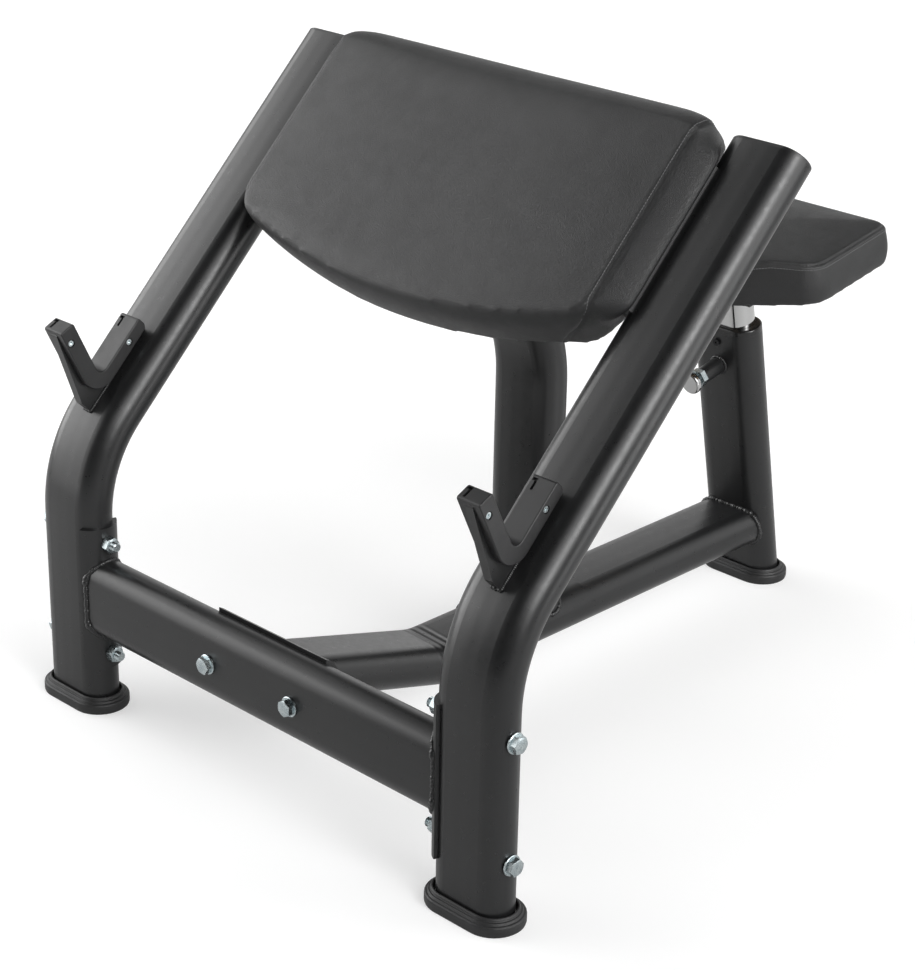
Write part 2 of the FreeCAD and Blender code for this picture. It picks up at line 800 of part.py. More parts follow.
def pad_outline(inset, out):
    half = pad_half_wide - inset
    corner = pad_corner_radius - inset
    radius = pad_bottom_radius - inset
    centre_along = pad_bottom_along + pad_bottom_radius
    corner_across = half - corner
    corner_along = centre_along - math.sqrt((radius - corner) ** 2 - corner_across ** 2)
    reach = radius / (radius - corner)
    meet = Vector(corner_across * reach, centre_along + (corner_along - centre_along) * reach, out)
    bottom = Vector(0, centre_along - radius, out)
    turn = (math.atan2(meet.y - corner_along, meet.x - corner_across)) / 2
    crest = Vector(corner_across + corner * math.cos(turn), corner_along + corner * math.sin(turn), out)
    side = Vector(half, corner_along, out)
    top_side = Vector(half, pad_top_along - pad_top_side_drop - inset, out)
    top = Vector(0, pad_top_along - inset, out)

    def mirrored(point):
        return Vector(-point.x, point.y, point.z)

    edges = [
        Part.Arc(mirrored(meet), bottom, meet).toShape(),
        Part.Arc(meet, crest, side).toShape(),
        Part.makeLine(side, top_side),
        Part.Arc(top_side, top, mirrored(top_side)).toShape(),
        Part.makeLine(mirrored(top_side), mirrored(side)),
        Part.Arc(mirrored(side), mirrored(crest), mirrored(meet)).toShape(),
    ]
    return Part.Wire(edges)


def pad_board_blank():
    return onto_slope(plate(pad_outline(pad_board_inset, pad_back_out), pad_board_thickness))


def pad_bolt_points(out):
    points = []
    for across in (-bracket_spacing / 2, bracket_spacing / 2):
        for step in (-pad_bolt_spacing / 2, pad_bolt_spacing / 2):
            points.append(slope_point(across, upper_beam_along + step, out))
    return points


def pad_board():
    board = pad_board_blank()
    for point in pad_bolt_points(pad_back_out):
        board = board.cut(rod(board_bolt_hole_radius, point, slope_out, board_bolt_bite))
    return board


# Everything under a line that rolls over the top edge, pulled across the pad
def pad_roll():
    front = pad_seam_out + pad_crown + pad_roll_lift
    back = pad_back_out - pad_roll_lift
    start = pad_bottom_along - overrun
    half = pad_half_wide + overrun
    corners = [(start, back), (pad_top_along, back), (pad_top_along, front), (start, front)]
    radii = [0, pad_back_roll_radius, pad_top_roll_radius, 0]
    profile = plate(rounded_outline(corners, radii, 0), 2 * half)
    return set_at(profile, slope_point(-half, 0, 0), X_AXIS, slope_up)


def arm_pad():
    over = pad_seam_out + 2 * pad_crown
    rings = [
        pad_outline(pad_base_inset, pad_back_out),
        pad_outline(0, pad_bulge_out),
        pad_outline(pad_seam_inset, pad_seam_out),
        pad_outline(pad_over_inset, over),
    ]
    body = Part.makeLoft(rings, True, False)
    crown = arched_slab(pad_half_wide, pad_seam_out, pad_crown, pad_bottom_along, pad_top_along)
    body = onto_slope(body.common(crown)).common(pad_roll())
    return body.cut(pad_board_blank())


def pad_brackets():
    low = Vector(-bracket_wide / 2, -bracket_long / 2, 0)
    high = Vector(bracket_wide / 2, bracket_long / 2, bracket_thickness)
    brackets = []
    for across in (-bracket_spacing / 2, bracket_spacing / 2):
        base = slope_point(across, upper_beam_along, pad_back_out - bracket_thickness)
        flat = set_at(block(low, high), base, slope_out, X_AXIS)
        for point in pad_bolt_points(pad_back_out - bracket_thickness):
            flat = flat.cut(rod(board_bolt_hole_radius, point, slope_out, bracket_thickness))
        brackets.append(flat)
    return brackets


def pad_bolts():
    length = bracket_thickness + board_bolt_bite
    bolt = hex_bolt(board_bolt_radius, length, board_bolt_head_flats, board_bolt_head_height)
    points = pad_bolt_points(pad_back_out - bracket_thickness)
    return [set_at(bolt, point, slope_out, X_AXIS) for point in points]


# Bar rests: drawn as (along, rise above the tube face), with X as the thickness
rest_turn = math.radians(rest_opening_angle)
rest_arm = (math.cos(rest_turn), math.sin(rest_turn))
rest_inward = (math.sin(rest_turn), -math.cos(rest_turn))


# Point beside the outer arm: run is measured from the notch, depth behind its bearing face
def on_outer_arm(run, depth):
    along = rest_vertex_along + rest_arm[0] * run - rest_inward[0] * depth
    rise = rest_vertex_rise + rest_arm[1] * run - rest_inward[1] * depth
    return along, rise


def on_inner_arm(run, depth):
    return rest_vertex_along + run, rest_vertex_rise - depth


# Corner where the outer arm's line and the inner arm's line meet behind the notch
def behind_notch(outer_depth, inner_depth):
    shift = -(outer_depth + inner_depth * math.cos(rest_turn)) / math.sin(rest_turn)
    return rest_vertex_along + shift, rest_vertex_rise - inner_depth


def rest_solid(corners, radii, side, wide):
    solid = plate(rounded_outline(corners, radii, 0), wide)
    base = slope_point(side * upright_x - wide / 2, 0, tube_round)
    return set_at(solid, base, X_AXIS, slope_up)


def bar_hook_blank(side):
    tip = rest_arm_length - liner_wall
    end = on_inner_arm(rest_arm_length - liner_wall, liner_wall)
    corners = [
        on_outer_arm(tip, liner_wall),
        on_outer_arm(tip, liner_wall + hook_tip_depth),
        (hook_foot_along, hook_heel_rise),
        (hook_foot_along, -hook_sink),
        (end[0], -hook_sink),
        end,
        behind_notch(liner_wall, liner_wall),
    ]
    notch = rest_notch_radius + liner_wall
    radii = [hook_tip_radius, hook_tip_radius, hook_heel_radius, 0, 0, hook_tip_radius, notch]
    return rest_solid(corners, radii, side, hook_thickness).cut(upright_blank(False, side))


def liner_screw_places():
    outer = on_outer_arm(liner_screw_outer_run, liner_screw_outer_depth)
    inner = on_inner_arm(liner_screw_inner_run, liner_screw_inner_depth)
    return [outer, inner]


# Start point and outward direction of each liner screw, on the liner's two flanks
def liner_screw_seats(side):
    seats = []
    for along, rise in liner_screw_places():
        for flank in (-1, 1):
            across = side * upright_x + flank * (liner_wide / 2 - liner_screw_pocket_depth)
            seats.append((slope_point(across, along, tube_round + rise), X_AXIS * flank))
    return seats


def bar_hook(side):
    hook = bar_hook_blank(side)
    for seat, outward in liner_screw_seats(side):
        hook = hook.cut(rod(liner_screw_radius, seat, outward * -1, liner_screw_length()))
    return hook


def liner_screw_length():
    flange = (liner_wide - hook_thickness) / 2 - liner_screw_pocket_depth
    return flange + liner_screw_bite


# Hooked slot, cut down from the plane Z = 0
def hooked_slot():
    long_leg = block(Vector(0, 0, -slot_depth), Vector(slot_long, slot_wide, slot_depth))
    corner = Vector(slot_long - slot_wide, 0, -slot_depth)
    short_leg = block(corner, Vector(slot_long, slot_short, slot_depth))
    return long_leg.fuse(short_leg).removeSplitter()


def hook_liner(side):
    tip_back = on_outer_arm(rest_arm_length, liner_outer_depth)
    corners = [
        on_outer_arm(rest_arm_length, 0),
        tip_back,
        behind_notch(liner_outer_depth, liner_inner_depth),
        on_inner_arm(rest_arm_length, liner_inner_depth),
        on_inner_arm(rest_arm_length, 0),
        (rest_vertex_along, rest_vertex_rise),
    ]
    radii = [liner_tip_radius, liner_tip_radius, liner_heel_radius, liner_end_radius, liner_tip_radius]
    radii.append(rest_notch_radius)
    liner = rest_solid(corners, radii, side, liner_wide)
    flanks = [edge for edge in liner.Edges if edge.BoundBox.XLength < liner_edge_radius]
    liner = liner.makeFillet(liner_edge_radius, flanks)
    liner = liner.cut(bar_hook_blank(side))
    for seat, outward in liner_screw_seats(side):
        liner = liner.cut(rod(liner_screw_pocket_radius, seat, outward, liner_wide))
        liner = liner.cut(rod(liner_screw_radius, seat, outward * -1, liner_screw_length()))
    across = side * upright_x - slot_short
    end_along, end_rise = on_inner_arm(rest_arm_length - slot_margin - slot_long, 0)
    end = slope_point(across, end_along, tube_round + end_rise)
    liner = liner.cut(set_at(hooked_slot(), end, slope_out, slope_up))
    tip_along, tip_rise = on_outer_arm(rest_arm_length, liner_outer_depth - slot_margin)
    tip = slope_point(across, tip_along, tube_round + tip_rise)
    arm_way = slope_up * rest_arm[0] + slope_out * rest_arm[1]
    inward = slope_up * rest_inward[0] + slope_out * rest_inward[1]
    return liner.cut(set_at(hooked_slot(), tip, arm_way, inward))


def liner_screws(side):
    head = rod(liner_screw_head_radius, Vector(0, 0, 0), Z_AXIS, liner_screw_head_height)
    socket_floor = liner_screw_head_height - liner_screw_socket_depth
    head = head.cut(hexagon(liner_screw_socket_flats, socket_floor, liner_screw_head_height))
    shank = rod(liner_screw_radius, Vector(0, 0, -liner_screw_length()), Z_AXIS, liner_screw_length())
    screw = head.fuse(shank).removeSplitter()
    return [set_at(screw, seat, outward, Z_AXIS) for seat, outward in liner_screw_seats(side)]


# Every node with its solids
nodes = {
    "front_crossbeam": [front_crossbeam()],
    "saddle_washers": saddle_washers(-1) + saddle_washers(1),
    "saddle_nuts": saddle_nuts(-1) + saddle_nuts(1),
    "spine": [spine()],
    "spine_front_saddle": [spine_front_saddle()],
    "spine_bolts": spine_bolts(),
    "spine_washers": spine_washers(),
    "spine_nuts": spine_nuts(),
    "centre_post": [centre_post()],
    "centre_post_saddle": [centre_post_saddle()],
    "rear_post": [rear_post()],
    "rear_foot": [shoe(0, post_point(0, shoe_band_height, 0).y, rear_post_core())],
    "post_collar": [post_collar()],
    "collar_screw": [collar_screw()],
    "pin_boss": [pin_boss()],
    "pin_lock_nut": [pin_lock_nut()],
    "plunger_pin": [plunger_pin()],
    "pin_knob": [pin_knob()],
    "seat_tube": [seat_tube()],
    "seat_tube_guide": [seat_tube_guide()],
    "seat_plate": [seat_plate()],
    "seat_board": [seat_board()],
    "seat_screws": seat_screws(),
    "seat_cushion": [seat_cushion()],
    "upper_crossbeam": [upper_crossbeam()],
    "pad_brackets": pad_brackets(),
    "pad_bolts": pad_bolts(),
    "pad_board": [pad_board()],
    "arm_pad": [arm_pad()],
}
for word, side in sides.items():
    nodes[word + "_upright"] = [upright(side)]
    nodes[word + "_upright_cap"] = [upright_cap(side)]
    nodes[word + "_front_foot"] = [shoe(side * upright_x, 0, upright_blank(False, side))]
    nodes[word + "_crossbeam_saddle"] = [crossbeam_saddle(side)]
    nodes[word + "_saddle_bolts"] = saddle_bolts(side)
    nodes[word + "_upper_saddle"] = [upper_saddle(side)]
    nodes[word + "_bar_hook"] = [bar_hook(side)]
    nodes[word + "_hook_liner"] = [hook_liner(side)]
    nodes[word + "_liner_screws"] = liner_screws(side)

# The origin is on the floor, halfway between the front shoes' toes and the back of the seat
seat_box = nodes["seat_cushion"][0].optimalBoundingBox(False)
depth_middle = (seat_box.YMax - shoe_thick / 2) / 2
os.makedirs("parts", exist_ok=True)
for name, solids in nodes.items():
    group = Part.makeCompound(solids)
    group.translate(Vector(0, -depth_middle, 0))
    group.exportStep("parts/" + name + ".step")
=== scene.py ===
import bpy
import bmesh
import math
from mathutils import Matrix, Vector, noise
from mathutils.bvhtree import BVHTree
from mathutils.kdtree import KDTree


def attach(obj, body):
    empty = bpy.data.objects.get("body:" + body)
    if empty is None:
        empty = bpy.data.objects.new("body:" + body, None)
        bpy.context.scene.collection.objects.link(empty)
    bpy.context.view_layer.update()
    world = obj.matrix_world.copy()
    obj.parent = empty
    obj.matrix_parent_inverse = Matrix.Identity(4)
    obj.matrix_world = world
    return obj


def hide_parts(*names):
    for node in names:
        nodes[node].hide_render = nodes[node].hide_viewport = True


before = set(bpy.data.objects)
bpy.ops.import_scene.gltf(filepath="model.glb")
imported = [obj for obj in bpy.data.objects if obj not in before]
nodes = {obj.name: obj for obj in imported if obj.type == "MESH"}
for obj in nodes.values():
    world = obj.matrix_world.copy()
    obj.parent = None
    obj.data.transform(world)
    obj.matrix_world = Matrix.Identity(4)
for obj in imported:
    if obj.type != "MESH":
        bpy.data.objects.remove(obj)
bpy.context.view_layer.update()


# Frame tubes: flat-oval steel tube with its saddle plates, hook plates and brackets,
# cut, bent and welded, then sprayed and baked in satin black powder coat.
# The coat is faintly pebbled, and its gloss wanders a little from place to place.
upright_across = 0.3365
beam_height = 0.152
coat_black, coat_grey = (0.0105, 0.0108, 0.0112), (0.0150, 0.0152, 0.0156)


def shader(name):
    material = bpy.data.materials.new(name)
    material.use_nodes = True
    tree = material.node_tree
    return material, tree, tree.nodes["Principled BSDF"]


def plug(tree, socket, value):
    if isinstance(value, bpy.types.NodeSocket):
        tree.links.new(value, socket)
    else:
        socket.default_value = value


def add(tree, kind, settings=None, **inputs):
    made = tree.nodes.new(kind)
    for key, value in (settings or {}).items():
        setattr(made, key, value)
    for key, value in inputs.items():
        label = int(key[1:]) if key[1:].isdigit() else key.replace("_", " ")
        plug(tree, made.inputs[label], value)
    return made


def reckon(tree, operation, *values):
    made = add(tree, "ShaderNodeMath", {"operation": operation})
    for socket, value in zip(made.inputs, values):
        plug(tree, socket, value)
    return made.outputs[0]


def dress(tree, surface, **inputs):
    for key, value in inputs.items():
        plug(tree, surface.inputs[key.replace("_", " ")], value)


def grain(tree, scale, detail=2.0, roughness=0.5):
    place = add(tree, "ShaderNodeTexCoord")
    return add(tree, "ShaderNodeTexNoise", None, Vector=place.outputs["Object"], Scale=scale,
               Detail=detail, Roughness=roughness).outputs["Fac"]


def shift_range(tree, value, low, high, start=0.3, end=0.7, blend="LINEAR"):
    return add(tree, "ShaderNodeMapRange", {"interpolation_type": blend}, Value=value, From_Min=start,
               From_Max=end, To_Min=low, To_Max=high).outputs["Result"]


def two_tone(tree, value, first, second, start=0.35, end=0.65):
    ramp = add(tree, "ShaderNodeValToRGB", None, Fac=value)
    ramp.color_ramp.elements[0].position = start
    ramp.color_ramp.elements[1].position = end
    ramp.color_ramp.elements[0].color = (*first, 1)
    ramp.color_ramp.elements[1].color = (*second, 1)
    return ramp.outputs["Color"]


def relief(tree, value, strength, depth, under=None):
    bump = add(tree, "ShaderNodeBump", None, Height=value, Strength=strength, Distance=depth)
    if under is not None:
        tree.links.new(under, bump.inputs["Normal"])
    return bump.outputs["Normal"]


def object_axis(tree, axis):
    place = add(tree, "ShaderNodeTexCoord")
    return add(tree, "ShaderNodeSeparateXYZ", None, Vector=place.outputs["Object"]).outputs[axis]


# Rolled tube is never quite flat: its sides crown gently into the rounded edges.
crown_flat, crown_edge, crown_depth = 0.006, 0.042, 0.0011


def crown(tree, axis, middle, under):
    across = reckon(tree, "ABSOLUTE", object_axis(tree, axis))
    gap = reckon(tree, "ABSOLUTE", reckon(tree, "SUBTRACT", across, middle))
    fall = shift_range(tree, gap, 1.0, 0.0, crown_flat, crown_edge, "SMOOTHSTEP")
    return relief(tree, fall, 1.0, crown_depth, under)


# The press that bent the spine left a few shallow folds across its upper side.
fold_pitch, fold_depth, fold_slant = 0.0125, 0.0011, 0.10
fold_place, fold_core, fold_end = -0.198, 0.006, 0.022


def bend_folds(tree, under):
    slant = reckon(tree, "MULTIPLY_ADD", object_axis(tree, "X"), fold_slant, object_axis(tree, "Y"))
    wave = reckon(tree, "SINE", reckon(tree, "MULTIPLY", slant, math.tau / fold_pitch))
    gap = reckon(tree, "ABSOLUTE", reckon(tree, "SUBTRACT", slant, fold_place))
    near = shift_range(tree, gap, 1.0, 0.0, fold_core, fold_end)
    return relief(tree, reckon(tree, "MULTIPLY", wave, near), 0.8, fold_depth, under)


def coat(name, axis=None, middle=0.0, folds=None):
    material, tree, surface = shader(name)
    pebble = relief(tree, grain(tree, scale=480.0), strength=0.08, depth=0.0004)
    if axis is not None:
        pebble = crown(tree, axis, middle, pebble)
    if folds is not None:
        pebble = folds(tree, pebble)
    dress(tree, surface, Normal=pebble,
          Base_Color=two_tone(tree, grain(tree, scale=7.0, detail=4.0), coat_black, coat_grey),
          Roughness=shift_range(tree, grain(tree, scale=140.0, detail=4.0), low=0.27, high=0.34))
    return material


powder_coat = coat("powder_coat")
upright_coat = coat("upright_coat", "X", upright_across)
beam_coat = coat("beam_coat", "Z", beam_height)
post_coat = coat("post_coat", "X")
creased_coat = coat("creased_coat", "X", folds=bend_folds)

painted_nodes = ["spine_front_saddle", "centre_post_saddle", "upper_crossbeam", "pad_brackets", "pin_boss",
                 "seat_plate"]
for side in ("left", "right"):
    painted_nodes += [side + part for part in ("_crossbeam_saddle", "_upper_saddle", "_bar_hook")]


def finish_nodes(names, material):
    for name in names:
        nodes[name].material_slots[0].material = material


finish_nodes(painted_nodes, powder_coat)
finish_nodes(["left_upright", "right_upright"], upright_coat)
finish_nodes(["front_crossbeam"], beam_coat)
finish_nodes(["centre_post", "rear_post"], post_coat)
finish_nodes(["spine"], creased_coat)


# Weld beads: fillets of steel run round the joints of the frame before painting.
# Each bead is a row of overlapping ripples laid along the line where two pieces meet.
tube_wide, tube_thick = 0.100, 0.050
axis_depth = -0.459904
bend_height = 0.320487
half_root = math.sqrt(0.5)
post_lean = math.radians(11.4)
post_depth = 0.894
post_foot = post_depth + axis_depth
X, Y, Z = Vector((1, 0, 0)), Vector((0, 1, 0)), Vector((0, 0, 1))


def on_slope(across, along, out):
    return Vector((across, axis_depth + (along - out) * half_root, bend_height + (along + out) * half_root))


def on_post(across, height, forward):
    depth = post_foot - height * math.sin(post_lean) - forward * math.cos(post_lean)
    return Vector((across, depth, height * math.cos(post_lean) - forward * math.sin(post_lean)))


slope_up = on_slope(0, 1, 0) - on_slope(0, 0, 0)
slope_out = on_slope(0, 0, 1) - on_slope(0, 0, 0)


def oval_ring(centre, wide_way, thick_way, wide=tube_wide, thick=tube_thick, turns=24):
    points = []
    for half in (1, -1):
        for step in range(turns + 1):
            angle = math.pi * (step / turns - 0.5)
            run = (wide - thick) / 2 + thick / 2 * math.cos(angle)
            points.append(centre + wide_way * (half * run) + thick_way * (half * thick / 2 * math.sin(angle)))
    return points


def mesh_tree(mesh):
    return BVHTree.FromPolygons([v.co for v in mesh.vertices], [p.vertices for p in mesh.polygons])


def cast_onto(node, points, way):
    tree = mesh_tree(nodes[node].data)
    hits = [tree.ray_cast(point, way)[0] for point in points]
    return [hit for hit in hits if hit is not None]


def lines_mesh(name, lines):
    points, edges = [], []
    for line, closed in lines:
        start = len(points)
        points += line
        edges += [(start + n, start + n + 1) for n in range(len(line) - 1)]
        if closed:
            edges.append((len(points) - 1, start))
    mesh = bpy.data.meshes.new(name)
    mesh.from_pydata(points, edges, [])
    return mesh


def put_in_scene(name, data):
    holder = bpy.data.objects.new(name, data)
    bpy.context.scene.collection.objects.link(holder)
    return holder


def growth(name, inputs):
    tree = bpy.data.node_groups.new(name, "GeometryNodeTree")
    tree.interface.new_socket("Geometry", in_out="INPUT", socket_type="NodeSocketGeometry")
    for label, kind, value in inputs:
        socket = tree.interface.new_socket(label, in_out="INPUT", socket_type="NodeSocket" + kind)
        if value is not None:
            socket.default_value = value
    tree.interface.new_socket("Geometry", in_out="OUTPUT", socket_type="NodeSocketGeometry")
    return tree, tree.nodes.new("NodeGroupInput").outputs


def row_along(tree, start, pitch, shape, size):
    line = add(tree, "GeometryNodeMeshToCurve", None, Mesh=start)
    spots = add(tree, "GeometryNodeCurveToPoints", {"mode": "LENGTH"}, Curve=line.outputs[0], Length=pitch)
    turn = add(tree, "FunctionNodeAlignRotationToVector", {"axis": "Z"}, Vector=spots.outputs["Tangent"])
    return add(tree, "GeometryNodeInstanceOnPoints", None, Points=spots.outputs["Points"], Instance=shape,
               Rotation=turn.outputs[0], Scale=size).outputs[0]


def close_growth(tree, grown, material):
    real = add(tree, "GeometryNodeRealizeInstances", None, Geometry=grown)
    painted = add(tree, "GeometryNodeSetMaterial", None, Geometry=real.outputs[0], Material=material)
    end = tree.nodes.new("NodeGroupOutput")
    tree.links.new(painted.outputs[0], end.inputs[0])


def grown_piece(name, start_mesh, tree, values, smooth_angle=None):
    source = put_in_scene(name + "_start", start_mesh)
    modifier = source.modifiers.new("growth", "NODES")
    modifier.node_group = tree
    for item in tree.interface.items_tree:
        if item.in_out == "INPUT" and item.name in values:
            modifier[item.identifier] = values[item.name]
    ready = source.evaluated_get(bpy.context.evaluated_depsgraph_get())
    mesh = bpy.data.meshes.new_from_object(ready)
    bpy.data.objects.remove(source)
    mesh.name = name
    mesh.shade_smooth()
    if smooth_angle is not None:
        mesh.set_sharp_from_angle(angle=math.radians(smooth_angle))
    return put_in_scene(name, mesh)


def on_body(piece, body, slot, *stands_for):
    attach(piece, body)
    if stands_for:
        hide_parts(*stands_for)


bead_tree, bead_in = growth("weld_bead", [
    ("Bead radius", "Float", 0.003), ("Ripple pitch", "Float", 0.003),
    ("Unevenness", "Float", 0.18), ("Seed", "Int", 3)])
bead_low = reckon(bead_tree, "SUBTRACT", 1.0, bead_in["Unevenness"])
bead_high = reckon(bead_tree, "ADD", 1.0, bead_in["Unevenness"])
bead_size = add(bead_tree, "FunctionNodeRandomValue", {"data_type": "FLOAT"}, _2=bead_low, _3=bead_high,
                Seed=bead_in["Seed"])
ripple = add(bead_tree, "GeometryNodeMeshUVSphere", None, Segments=9, Rings=5, Radius=bead_in["Bead radius"])
bead_row = row_along(bead_tree, bead_in["Geometry"], bead_in["Ripple pitch"], ripple.outputs["Mesh"],
                     bead_size.outputs[1])
close_growth(bead_tree, bead_row, powder_coat)

upper_along, upper_out = 0.4764, -0.0366
cast_start = 0.20
heavy_lines = []
blob_rings = []
for side, word in ((-1, "left"), (1, "right")):
    beam_end = oval_ring(Vector((side * cast_start, axis_depth, beam_height)), Z, Y)
    blob_rings.append(cast_onto(word + "_crossbeam_saddle", beam_end, X * side))
    heavy_lines.append((blob_rings[-1], True))
    upper_end = oval_ring(on_slope(side * cast_start, upper_along, upper_out), slope_up, slope_out)
    heavy_lines.append((cast_onto(word + "_upper_saddle", upper_end, X * side), False))

saddle_back, spine_back = 0.030, 0.120
spine_height, spine_bend_depth = 0.0856, 0.262
spine_rise = math.atan((beam_height - spine_height) / (spine_bend_depth - saddle_back))
spine_way = Vector((0, -math.cos(spine_rise), math.sin(spine_rise)))
spine_start = Vector((0, axis_depth + saddle_back + spine_back,
                      beam_height - spine_back * math.tan(spine_rise)))
spine_front = oval_ring(spine_start, X, X.cross(spine_way))
heavy_lines.append((cast_onto("spine_front_saddle", spine_front, spine_way), True))
post_bead = 0.0245
spine_rear = []
for point in oval_ring(Vector((0, 0, spine_height)), X, Z):
    height = (point.z + tube_thick / 2 * math.sin(post_lean)) / math.cos(post_lean)
    spine_rear.append(on_post(point.x, height, post_bead))
heavy_lines.append((spine_rear, True))
blob_rings.append(spine_rear)

centre_depth, centre_above = 0.434, 0.25
centre_lean = math.radians(20.0)
centre_below = 0.12
centre_foot = oval_ring(Vector((0, centre_depth + axis_depth, centre_above)), X, Y)
heavy_lines.append((cast_onto("centre_post_saddle", centre_foot, -Z), True))
centre_way = Vector((0, -math.sin(centre_lean), math.cos(centre_lean)))
centre_aim = on_slope(0, upper_along, upper_out)
centre_head = oval_ring(centre_aim - centre_way * centre_below, X, X.cross(centre_way))
heavy_lines.append((cast_onto("upper_crossbeam", centre_head, centre_way), True))

boss_ring, boss_height, boss_steps = 0.0115, 0.338, 36
boss_line = []
for step in range(boss_steps):
    angle = math.tau * step / boss_steps
    height = boss_height + boss_ring * math.sin(angle)
    boss_line.append(on_post(boss_ring * math.cos(angle), height, tube_thick / 2))
fine_lines = [(boss_line, True)]
hook_half, hook_low, hook_high, hook_bead = 0.006, 0.0534, 0.1701, 0.0252
hook_foot = [(-hook_half, hook_low), (hook_half, hook_low), (hook_half, hook_high), (-hook_half, hook_high)]
for side in (-1, 1):
    corners = [on_slope(side * upright_across + across, along, hook_bead) for across, along in hook_foot]
    fine_lines.append((corners, True))

blob_starts, blob_run = (0.0, 0.42, 0.5, 0.92), 0.08
blob_lines = []
for ring in blob_rings:
    count = len(ring)
    for share in blob_starts:
        start = round(share * count)
        blob_lines.append((ring[start:start + max(3, round(blob_run * count))], False))

for name, lines, radius, pitch, unevenness, seed in (
        ("frame_welds", heavy_lines, 0.0034, 0.0024, 0.20, 5),
        ("weld_blobs", blob_lines, 0.0043, 0.0024, 0.30, 12),
        ("fine_welds", fine_lines, 0.0024, 0.0022, 0.22, 8)):
    beads = grown_piece(name, lines_mesh(name, lines), bead_tree, {
        "Bead radius": radius, "Ripple pitch": pitch, "Unevenness": unevenness, "Seed": seed})
    on_body(beads, "frame", "frame_paint")


# Shoes: moulded black rubber boots pushed over the tube ends.
# The rubber is dull, a little dusty, and finely pitted from its mould.
rubber_black, rubber_dust = (0.012, 0.012, 0.012), (0.020, 0.020, 0.021)
boot_rubber, tree, surface = shader("boot_rubber")
dress(tree, surface,
      Base_Color=two_tone(tree, grain(tree, scale=30.0, detail=5.0), rubber_black, rubber_dust),
      Roughness=shift_range(tree, grain(tree, scale=60.0, detail=4.0), low=0.44, high=0.58),
      Normal=relief(tree, grain(tree, scale=1100.0, detail=4.0, roughness=0.65), strength=0.30, depth=0.0004))

# The profile gives the inset from the widest outline and the height above the floor, in millimetres.
# Above its lowest band a shoe leans with its tube.
shoe_wide, shoe_thick, band_height = 0.126, 0.072, 0.013
shoe_turns, shoe_sharp = 20, math.radians(75)
shoe_profile = [(2.0, 0.0), (0.6, 0.5), (0.0, 2.2), (0.0, 10.4), (0.2, 11.6), (0.9, 12.7), (2.0, 13.3),
                (2.9, 13.2), (3.3, 13.4), (3.6, 14.4), (4.2, 15.6), (5.1, 16.1), (5.9, 15.9), (6.3, 16.1),
                (6.6, 17.2), (7.1, 18.7), (7.9, 19.6), (8.8, 19.8), (9.5, 19.4), (9.8, 18.4), (9.9, 12.0),
                (12.0, 11.5)]


def skin_rings(shape, rings, closed_top=True):
    loops = [[shape.verts.new(point) for point in ring] for ring in rings]
    count = len(loops[0])
    for lower, upper in zip(loops, loops[1:]):
        for step in range(count):
            after = (step + 1) % count
            shape.faces.new((lower[step], lower[after], upper[after], upper[step]))
    shape.faces.new(list(reversed(loops[0])))
    if closed_top:
        shape.faces.new(loops[-1])


def finished_mesh(name, shape):
    mesh = bpy.data.meshes.new(name)
    bmesh.ops.recalc_face_normals(shape, faces=shape.faces)
    shape.to_mesh(mesh)
    shape.free()
    return mesh


def shoe(name, across, depth, lean, node):
    rings = []
    for inset, rise in shoe_profile:
        height, both_sides = rise / 1000, 2 * inset / 1000
        shift = max(0.0, height - band_height) * math.tan(lean)
        centre = Vector((across, depth - shift, height))
        wide, thick = shoe_wide - both_sides, shoe_thick - both_sides
        rings.append(oval_ring(centre, X, Y, wide, thick, shoe_turns))
    shape = bmesh.new()
    skin_rings(shape, rings, closed_top=False)
    mesh = finished_mesh(name, shape)
    mesh.shade_smooth()
    mesh.set_sharp_from_angle(angle=shoe_sharp)
    mesh.materials.append(boot_rubber)
    on_body(put_in_scene(name, mesh), "frame", "shoe_rubber", node)


shoe("left_shoe", -upright_across, axis_depth, 0.0, "left_front_foot")
shoe("right_shoe", upright_across, axis_depth, 0.0, "right_front_foot")
shoe("rear_shoe", 0.0, on_post(0, band_height, 0).y, post_lean, "rear_foot")


# Caps, collar and guide: injection-moulded black plastic inserts that close the tube ends.
# The collar's lip is polished by the seat tube, the rest has a fine spark-eroded skin.
plastic_black, plastic_grey = (0.012, 0.012, 0.0125), (0.018, 0.018, 0.0185)
moulded_plastic, tree, surface = shader("moulded_plastic")
dress(tree, surface,
      Base_Color=two_tone(tree, grain(tree, scale=24.0, detail=3.0), plastic_black, plastic_grey),
      Roughness=shift_range(tree, grain(tree, scale=90.0, detail=3.0), low=0.34, high=0.46),
      Normal=relief(tree, grain(tree, scale=1600.0), strength=0.16, depth=0.0003))
collar_black, collar_grey = (0.010, 0.010, 0.010), (0.014, 0.014, 0.014)
collar_plastic, tree, surface = shader("collar_plastic")
dress(tree, surface,
      Base_Color=two_tone(tree, grain(tree, scale=40.0, detail=3.0), collar_black, collar_grey),
      Roughness=shift_range(tree, grain(tree, scale=70.0, detail=3.0), low=0.16, high=0.26),
      Normal=relief(tree, grain(tree, scale=300.0), strength=0.05, depth=0.0003))
finish_nodes(["left_upright_cap", "right_upright_cap", "seat_tube_guide"], moulded_plastic)
finish_nodes(["post_collar"], collar_plastic)


